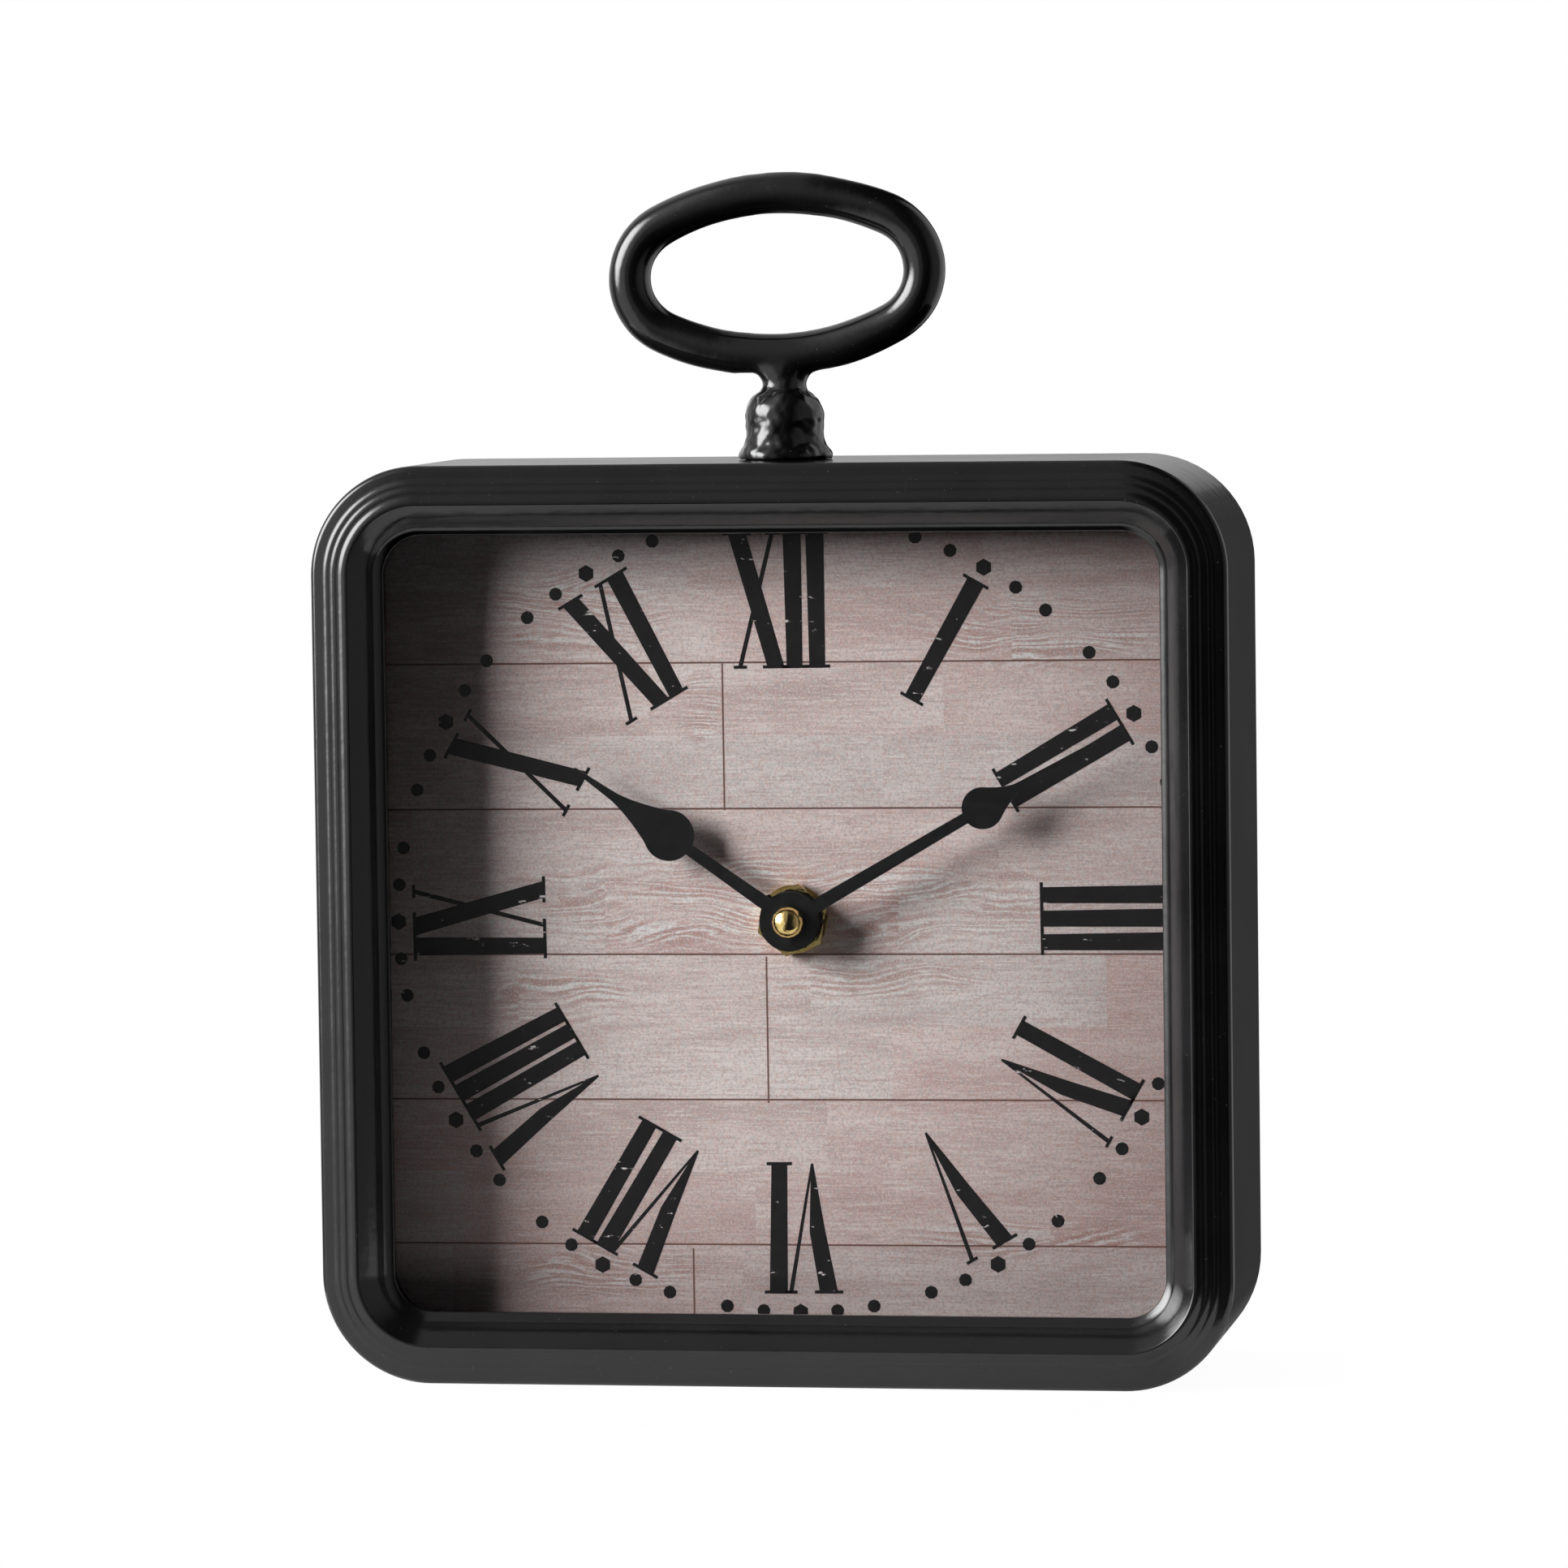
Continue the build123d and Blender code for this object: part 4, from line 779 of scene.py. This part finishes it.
def point_hand(node, body, angle, shoulder, shoulder_half, start_half, tip_half, flare, cad_tip, tip):
    """Copy a CAD hand and give it a hollow shoulder and a tapered point."""
    mesh = merged_copy(node)
    sine = math.sin(math.radians(angle))
    cosine = math.cos(math.radians(angle))
    for vert in mesh.verts:
        from_shaft = (vert.co - nut_middle) * 1000
        along = from_shaft.x * sine + from_shaft.z * cosine
        side = from_shaft.x * cosine - from_shaft.z * sine
        if along > shoulder + SHOULDER_SLACK:
            share = (along - shoulder) / (cad_tip - shoulder)
            ahead = share * (tip - shoulder)
            hollow = max(0.0, 1 - ahead / flare) ** FLARE_POWER
            straight = start_half + share * (tip_half - start_half)
            half = straight + (shoulder_half - start_half) * hollow
            along = shoulder + ahead
            side = math.copysign(half, side)
            vert.co.x = nut_middle.x + (along * sine + side * cosine) / 1000
            vert.co.z = nut_middle.z + (along * cosine - side * sine) / 1000
    hand = new_piece(node + "_pointed", mesh, finishes["black_hands"], body)
    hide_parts(node)
    return hand


for node, values in HANDS.items():
    hand = point_hand(node, *values)
    print(hand.name, "faces:", len(hand.data.polygons))

# %% [markdown]
# ## Copper winding and battery skin
# Two parts have a pattern that runs along them. The coil shows its turns of wire, so a wave along X
# drives both tone and bump. The battery has a plain printed sleeve with a pale band near one end
# and bare metal at both ends, picked by the distance along the cell.

# %% Make the wound and the printed finish
copper, shader = new_material("copper_wire")
place = place_mm(copper)
turns = add(copper, "TexWave", {"Vector": place, "Scale": 1.2, "Distortion": 0.3},
            wave_type="BANDS", bands_direction="X").outputs[0]
wire_tone = blend(copper, turns, colour(128, 62, 34), colour(206, 124, 78))
wire_rough = spread(copper, turns, 0.0, 1.0, 0.42, 0.22)
dress(copper, shader, wire_tone, wire_rough, bump(copper, turns, 0.00005))
shader.inputs["Metallic"].default_value = 1.0

cell_low, cell_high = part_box("battery_cell")
skin, shader = new_material("battery_skin")
place = place_mm(skin)
along = add(skin, "SeparateXYZ", {0: place}).outputs[0]
CELL_START = 1000 * cell_low.x
CELL_END = 1000 * cell_high.x


def between(low, high):
    """One between two places along the cell, and nothing elsewhere."""
    past_low = maths(skin, "GREATER_THAN", along, low)
    return times(skin, past_low, maths(skin, "LESS_THAN", along, high))


sleeve = between(CELL_START + 1.2, CELL_END - 2.2)
band = between(CELL_END - 13.0, CELL_END - 10.5)
scuff = noise(skin, place, 0.7, 4, 0.6)
print_tone = blend(skin, scuff, colour(38, 62, 84), colour(54, 80, 104))
print_tone = blend(skin, band, print_tone, colour(206, 206, 200))
metal_tone = blend(skin, scuff, colour(158, 158, 156), colour(192, 191, 188))
cell_tone = blend(skin, sleeve, metal_tone, print_tone)
cell_rough = spread(skin, scuff, 0.3, 0.7, 0.24, 0.4)
dress(skin, shader, cell_tone, cell_rough, bump(skin, scuff, 0.00001))
feed(skin, shader.inputs["Metallic"], maths(skin, "SUBTRACT", 1.0, sleeve))
print("battery runs from", round(CELL_START, 2), "to", round(CELL_END, 2), "mm")

# %% [markdown]
# ## Clear glass
# A flat pane shows almost nothing but its reflections. A Transparent shader lets lamps through to
# the dial without noise, and a glossy shader is mixed in by how edge-on the pane is seen: about one
# part in a hundred face to face, and more towards the edge. A faint smear varies the gloss.

# %% Make the glass
FACING_SHINE = 0.012
EDGE_SHINE = 0.96
glass, shader = new_material("clear_glass")
smear = noise(glass, place_mm(glass, stretch=(1, 1, 0.4)), 0.08, 3)
clear = add(glass, "BsdfTransparent", {"Color": (0.978, 0.982, 0.98, 1.0)})
shine = add(glass, "BsdfGlossy", {"Roughness": spread(glass, smear, 0.3, 0.7, 0.0, 0.06)})
facing = add(glass, "LayerWeight", {"Blend": 0.5}).outputs["Facing"]
edge_on = maths(glass, "MULTIPLY_ADD", maths(glass, "POWER", facing, 5.0), EDGE_SHINE)
edge_on.node.inputs[2].default_value = FACING_SHINE
mix = add(glass, "MixShader", {0: edge_on, 1: clear.outputs[0], 2: shine.outputs[0]})
glass.node_tree.nodes.remove(shader)
feed(glass, glass.node_tree.nodes["Material Output"].inputs["Surface"], mix.outputs[0])
print("glass nodes:", len(glass.node_tree.nodes))

# %% [markdown]
# ## The wall round the dial
# Behind the lip a plastic frame holds the glass off the dial. From the front only its inner wall
# could be seen, and on the real clock the print runs on behind the lip, so the wall stands well
# outside it. The section is a Z that carries the pane in front and clamps the print behind, swept
# round like the bezel, and the pane is a wider copy of the CAD one.

# %% Make the frame and the pane
# Corners of the section, written like those of the bezel
FRAME_SECTION = (
    (6.3, 6.4, 0.2), (7.5, 6.4, 0.2), (7.5, 8.0, 0.0), (9.4, 8.0, 0.3), (9.4, 17.95, 0.0),
    (1.4, 17.95, 0.0), (1.4, 16.8, 0.2), (8.2, 16.8, 0.4), (8.2, 9.2, 0.0), (6.3, 9.2, 0.3),
)
# Half width of the pane here and in the CAD
PANE_GROWTH = 71.7 / 69.8
wall_frame = new_piece("dial_wall_frame", sweep_round_case(FRAME_SECTION), finishes["black_plastic"],
                       "case_body")
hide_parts("spacer_frame")

pane_low, pane_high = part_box("glass_pane")
mesh = merged_copy("glass_pane")
to_middle = Matrix.Translation(-(pane_low + pane_high) / 2)
bmesh.ops.scale(mesh, vec=(PANE_GROWTH, 1, PANE_GROWTH), verts=mesh.verts, space=to_middle)
pane = new_piece("wide_pane", mesh, glass, "case_body")
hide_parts("glass_pane")
print("frame faces:", len(wall_frame.data.polygons), "pane faces:", len(pane.data.polygons))

# %% [markdown]
# ## Screws and moulded marks on the back
# The back is held by four pan-head screws. One screw is spun from its section. The faces of its top
# that lie along two crossing lines are pushed down for the driver, and the screw is copied to
# its four places. The clockwork's cover has the marks such covers have: a plus and a minus
# beside the cell, a curved arrow by the setting knob and the rings that mould pins leave.

# %% Make the screws
screw_low, screw_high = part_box("back_cover_screws")
HEAD_RADIUS = 3.0
SHANK_RADIUS = 1.45
HEAD_HEIGHT = 1.7
RECESS_RADIUS = 1.5
RECESS_DEPTH = 0.9
FIRST_TURN = 10
TURN_STEP = 37
SHANK_LENGTH = 1000 * (screw_high.y - screw_low.y) - HEAD_HEIGHT
# Corners of the section: radius and height over the cover
SCREW_SECTION = (
    (0.0, HEAD_HEIGHT), (0.55, HEAD_HEIGHT), (1.75, 1.6), (2.4, 1.35), (2.85, 0.8),
    (HEAD_RADIUS, 0.25), (HEAD_RADIUS, 0.0), (SHANK_RADIUS, 0.0),
    (SHANK_RADIUS, 0.4 - SHANK_LENGTH), (1.1, -SHANK_LENGTH), (0.0, -SHANK_LENGTH),
)
mesh = bmesh.new()
line = [mesh.verts.new((radius, height, 0)) for radius, height in SCREW_SECTION]
for first, second in zip(line, line[1:]):
    mesh.edges.new((first, second))
spin_round(mesh, 24)
bmesh.ops.remove_doubles(mesh, verts=mesh.verts, dist=0.001)
cross = []
for face in mesh.faces:
    middle = face.calc_center_median()
    radius = math.hypot(middle.x, middle.z)
    off_axis = min(abs(middle.x), abs(middle.z)) / max(radius, 0.001)
    on_top = middle.y > 1.5 and radius < RECESS_RADIUS
    if on_top and (radius < 0.5 or off_axis < 0.2):
        cross.append(face)
sunk = verts_of(bmesh.ops.extrude_face_region(mesh, geom=cross)["geom"])
bmesh.ops.delete(mesh, geom=cross, context="FACES_ONLY")
bmesh.ops.translate(mesh, vec=(0, -RECESS_DEPTH, 0), verts=sunk)
bmesh.ops.scale(mesh, vec=(0.001, 0.001, 0.001), verts=mesh.verts)
one_screw = mesh.verts[:] + mesh.edges[:] + mesh.faces[:]
inset = HEAD_RADIUS / 1000
head_y = screw_high.y - HEAD_HEIGHT / 1000
screw_xs = (screw_low.x + inset, screw_high.x - inset)
screw_zs = (screw_low.z + inset, screw_high.z - inset)
for number, (x, z) in enumerate([(x, z) for x in screw_xs for z in screw_zs]):
    verts = verts_of(bmesh.ops.duplicate(mesh, geom=one_screw)["geom"])
    turn = Matrix.Rotation(math.radians(FIRST_TURN + TURN_STEP * number), 4, "Y")
    bmesh.ops.transform(mesh, matrix=Matrix.Translation((x, head_y, z)) @ turn, verts=verts)
bmesh.ops.delete(mesh, geom=verts_of(one_screw), context="VERTS")
screws = new_piece("pan_head_screws", mesh, finishes["zinc_steel"], "case_body")
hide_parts("back_cover_screws")
print("screw faces:", len(screws.data.polygons))

# %% Make the moulded marks
cover_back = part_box("movement_back_case")[1].y
knob_low, knob_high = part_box("setting_knob")
knob_middle = (knob_low + knob_high) / 2
MARK_HEIGHT = 0.00025
MARK_SUNK = 0.0001
MARK_EDGE = 0.00008
SIGN_LENGTH = 0.0036
SIGN_WIDTH = 0.0009
SIGN_INSET = 0.004
RIB_WIDTH = 0.0005
ARROW_RADIUS = 0.008
ARROW_START = math.radians(30)
ARROW_SWEEP = math.radians(110)
BARB_LENGTH = 0.0026
BARB_TURN = math.radians(-10)
PIN_RADIUS = 0.0026
PIN_PLACES = ((0.022, 0.1), (-0.019, 0.1), (0.012, 0.078))
mark_z = cell_high.z + 0.0045
mesh = bmesh.new()


def raised_bar(middle_x, middle_z, width, height, turn=0.0):
    """Bar that stands a little out of the cover, with softened edges."""
    made = bmesh.ops.create_cube(mesh, size=1.0)["verts"]
    shape = Matrix.Diagonal((width, MARK_HEIGHT + MARK_SUNK, height, 1.0))
    at = (middle_x, cover_back + (MARK_HEIGHT - MARK_SUNK) / 2, middle_z)
    moved = Matrix.Translation(at) @ Matrix.Rotation(turn, 4, "Y") @ shape
    bmesh.ops.transform(mesh, matrix=moved, verts=made)
    edges = list({edge for vert in made for edge in vert.link_edges})
    bmesh.ops.bevel(mesh, geom=edges, offset=MARK_EDGE, segments=2, profile=0.5,
                    affect="EDGES", material=-1)


def raised_ring(middle_x, middle_z, radius, start, sweep):
    """Square rib bent round a point on the cover, by a part of a turn or a whole one."""
    made = bmesh.ops.create_grid(mesh, x_segments=1, y_segments=1, size=0.5)["verts"]
    shape = Matrix.Diagonal((RIB_WIDTH, MARK_HEIGHT + MARK_SUNK, 1.0, 1.0))
    at = Matrix.Translation((radius, (MARK_HEIGHT - MARK_SUNK) / 2, 0))
    stand = Matrix.Translation((middle_x, cover_back, middle_z)) @ Matrix.Rotation(-start, 4, "Y")
    bmesh.ops.transform(mesh, matrix=stand @ at @ shape, verts=made)
    faces = list({face for vert in made for face in vert.link_faces})
    edges = list({edge for vert in made for edge in vert.link_edges})
    whole = sweep > math.radians(359)
    if whole:
        bmesh.ops.delete(mesh, geom=faces, context="FACES_ONLY")
    rib = made + edges + ([] if whole else faces)
    bmesh.ops.spin(mesh, geom=rib, cent=(middle_x, cover_back, middle_z), axis=(0, 1, 0),
                   angle=-sweep, steps=36, use_merge=whole)


raised_bar(cell_high.x - SIGN_INSET, mark_z, SIGN_LENGTH, SIGN_WIDTH)
raised_bar(cell_high.x - SIGN_INSET, mark_z, SIGN_WIDTH, SIGN_LENGTH)
raised_bar(cell_low.x + SIGN_INSET, mark_z, SIGN_LENGTH, SIGN_WIDTH)
raised_ring(knob_middle.x, knob_middle.z, ARROW_RADIUS, ARROW_START, ARROW_SWEEP)
tip_x = knob_middle.x + ARROW_RADIUS * math.cos(ARROW_START + ARROW_SWEEP)
tip_z = knob_middle.z + ARROW_RADIUS * math.sin(ARROW_START + ARROW_SWEEP)
raised_bar(tip_x + 0.0001, tip_z + 0.0012, RIB_WIDTH, BARB_LENGTH, BARB_TURN)
raised_bar(tip_x + 0.0012, tip_z - 0.0001, BARB_LENGTH, RIB_WIDTH, BARB_TURN)
for pin_x, pin_z in PIN_PLACES:
    raised_ring(pin_x, pin_z, PIN_RADIUS, 0.0, math.radians(360))
marks = new_piece("moulded_marks", mesh, finishes["black_plastic"], "case_body")
print("mark faces:", len(marks.data.polygons))

# %% [markdown]
# ## Put the finishes on the CAD parts
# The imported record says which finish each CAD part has. The loop below replaces the plain grey
# of each part with the material of that name and leaves its shape alone.

# %% Assign the finishes
finishes.update({
    "black_enamel": enamel, "dial_paper": paper, "copper_wire": copper,
    "battery_skin": skin, "clear_glass": glass,
})
for entry in frame["record"]["subparts"]:
    data = nodes[entry["node"]].data
    data.materials.clear()
    data.materials.append(finishes[entry["material_slot"]])
nodes["back_cover"].data.materials[0] = satin_enamel

# %% [markdown]
# ## Floor, light and camera
# The clock stands on plain white with one soft light from the left and above, which leaves the
# left of the recessed dial in deep shade. The floor and the world look white to the camera but
# light almost nothing. Near the clock the floor's white glow is dimmed a touch as a painted contact
# shade, and a little of the floor's real shadow shows through it. The key lamp is hidden from
# mirrored rays. The enamel mirrors a softer card in the world in its place, along with dim glows
# all round and two faint cards behind the clock.

# %% Make the floor
FLOOR_SIZE = (0.30, 0.10, 1.0)
FLOOR_PLACE = (0.01, -0.02, 0.0)
PAINTED_CONTACT_SHADE = 0.97
floor_mesh = bmesh.new()
bmesh.ops.create_grid(floor_mesh, x_segments=2, y_segments=2, size=0.5)
bmesh.ops.scale(floor_mesh, vec=FLOOR_SIZE, verts=floor_mesh.verts)
bmesh.ops.translate(floor_mesh, vec=FLOOR_PLACE, verts=floor_mesh.verts)
ground, shader = new_material("floor_white")
floor = link_mesh("floor", floor_mesh, ground)
floor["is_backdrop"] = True
shader.inputs["Base Color"].default_value = (0.8, 0.8, 0.8, 1.0)
shader.inputs["Roughness"].default_value = 0.9
white = add(ground, "Emission", {"Color": (1, 1, 1, 1), "Strength": 1.0})
path = add(ground, "LightPath", {})
place = place_mm(ground)
from_clock = add(ground, "VectorMath", {0: place}, operation="LENGTH").outputs["Value"]
seen = maths(ground, "MAXIMUM", path.outputs["Is Camera Ray"], path.outputs["Is Transmission Ray"])
# Painted contact shade: near the clock the floor's white glow is dimmed, and its real shadow in the
# diffuse part shows through.
seen = times(ground, seen, spread(ground, from_clock, 70.0, 115.0, PAINTED_CONTACT_SHADE, 1.0))
from_middle = maths(ground, "ABSOLUTE", add(ground, "SeparateXYZ", {0: place}).outputs[1])
past_shade = spread(ground, from_middle, 24.0, 62.0)
mirrored = times(ground, path.outputs["Is Glossy Ray"], past_shade)
seen = maths(ground, "MAXIMUM", seen, mirrored)
mix = add(ground, "MixShader", {0: seen, 1: shader.outputs[0], 2: white.outputs[0]})
feed(ground, ground.node_tree.nodes["Material Output"].inputs["Surface"], mix.outputs[0])
print("floor nodes:", len(ground.node_tree.nodes))

# %% Make the world
WORLD_FILL = 0.015
DARK_SIDE = 0.03
TOP_GLOW = 0.36
LEFT_GLOW = 1.0
RIGHT_GLOW = 0.3
BACK_GLOW = 0.42
KEY_CARD = 15.0
KEY_CARD_EDGE = 0.85
KEY_CARD_MIDDLE = 0.98
KEY_WAY = (-0.828, -0.446, 0.339)
world = bpy.data.worlds.new("studio")
bpy.context.scene.world = world
world.use_nodes = True
background = world.node_tree.nodes["Background"]
background.inputs["Color"].default_value = (1, 1, 1, 1)
looking = add(world, "TexCoord", {}).outputs["Generated"]
way = add(world, "SeparateXYZ", {0: looking})
rightward, backward, upward = way.outputs[0], way.outputs[1], way.outputs[2]
# Each glow fades between two values of the direction that a ray looks in
top_glow = spread(world, upward, -0.80, 0.50, 0.0, TOP_GLOW)
on_left = spread(world, rightward, 0.10, -0.12, DARK_SIDE, 1.0)
top_glow = times(world, top_glow, on_left)
left_glow = spread(world, rightward, -0.22, -0.52, 0.0, LEFT_GLOW)
in_front = spread(world, backward, -0.05, -0.40)
left_glow = times(world, left_glow, in_front)
right_glow = spread(world, rightward, 0.45, 0.95, 0.0, RIGHT_GLOW)
beside = maths(world, "MAXIMUM", spread(world, rightward, -0.10, -0.40),
               spread(world, rightward, 0.25, 0.45, 0.0, 1.6))
back_glow = times(world, spread(world, backward, 0.0, 0.5, 0.0, BACK_GLOW), beside)
studio = maths(world, "ADD", maths(world, "ADD", top_glow, left_glow),
               maths(world, "ADD", right_glow, back_glow))
towards_key = add(world, "VectorMath", {0: looking, 1: KEY_WAY}, operation="DOT_PRODUCT")
near_key = spread(world, towards_key.outputs["Value"], KEY_CARD_EDGE, KEY_CARD_MIDDLE)
key_card = times(world, maths(world, "POWER", near_key, 2.0), KEY_CARD)
studio = maths(world, "MAXIMUM", maths(world, "MINIMUM", studio, 1.0), key_card)
path = add(world, "LightPath", {})
mirrored = maths(world, "MAXIMUM", path.outputs["Is Glossy Ray"], path.outputs["Is Transmission Ray"])
level = add(world, "Mix", {0: mirrored, 2: WORLD_FILL, 3: studio}).outputs[0]
level = add(world, "Mix", {0: path.outputs["Is Camera Ray"], 2: level, 3: 1.0}).outputs[0]
feed(world, background.inputs["Strength"], level)
print("world nodes:", len(world.node_tree.nodes))


# %% Make the lamps
def lamp(name, place, target, width, height, power):
    """Rectangular lamp at a place, turned towards a target."""
    data = bpy.data.lights.new(name, "AREA")
    data.shape = "RECTANGLE"
    data.size = width
    data.size_y = height
    data.energy = power
    made = bpy.data.objects.new(name, data)
    made.location = place
    made.rotation_euler = (Vector(target) - Vector(place)).to_track_quat("-Z", "Y").to_euler()
    made.visible_camera = False
    bpy.context.scene.collection.objects.link(made)
    return made


DIAL_CENTRE = (0.0, -0.005, 0.08)
key = lamp("key", (-1.11, -0.598, 0.535), DIAL_CENTRE, 0.55, 0.75, 50.5)
key.visible_glossy = False
lamp("back_card", (-0.30, 0.95, 0.45), (0.0, 0.0, 0.17), 0.9, 0.55, 0.3)
lamp("side_card", (0.28, 0.60, 0.05), (0.08, 0.0, 0.08), 0.34, 0.4, 0.02)
back_fill = lamp("back_fill", (0.50, 0.95, 0.85), (0.0, 0.02, 0.08), 0.7, 0.7, 14.0)
back_fill.visible_glossy = False
print("lamps:", len(bpy.data.lights))

# %% Make the camera
CAMERA_LENS = 180.85
SENSOR_WIDTH = 36.0
CAMERA_PLACE = Vector((0.22995, -1.35435, 0.19803))
CAMERA_AIM = Vector((-0.16744, 0.98348, -0.06879))
CAMERA_ROLL = math.radians(-0.755)
camera_data = bpy.data.cameras.new("camera")
camera_data.lens = CAMERA_LENS
camera_data.sensor_width = SENSOR_WIDTH
camera = bpy.data.objects.new("camera", camera_data)
aimed = CAMERA_AIM.to_track_quat("-Z", "Y").to_matrix().to_4x4()
rolled = aimed @ Matrix.Rotation(CAMERA_ROLL, 4, "Z")
camera.matrix_world = Matrix.Translation(CAMERA_PLACE) @ rolled
bpy.context.scene.collection.objects.link(camera)
bpy.context.scene.camera = camera
bpy.context.scene.view_settings.view_transform = "Standard"
print("lens:", CAMERA_LENS, "mm")

# %% [markdown]
# ## Measure the size
# The box round the dressed clock is measured, with the floor left out. The dressed clock must
# stay inside the box of the CAD model.

# %% Measure the box
low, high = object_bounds()
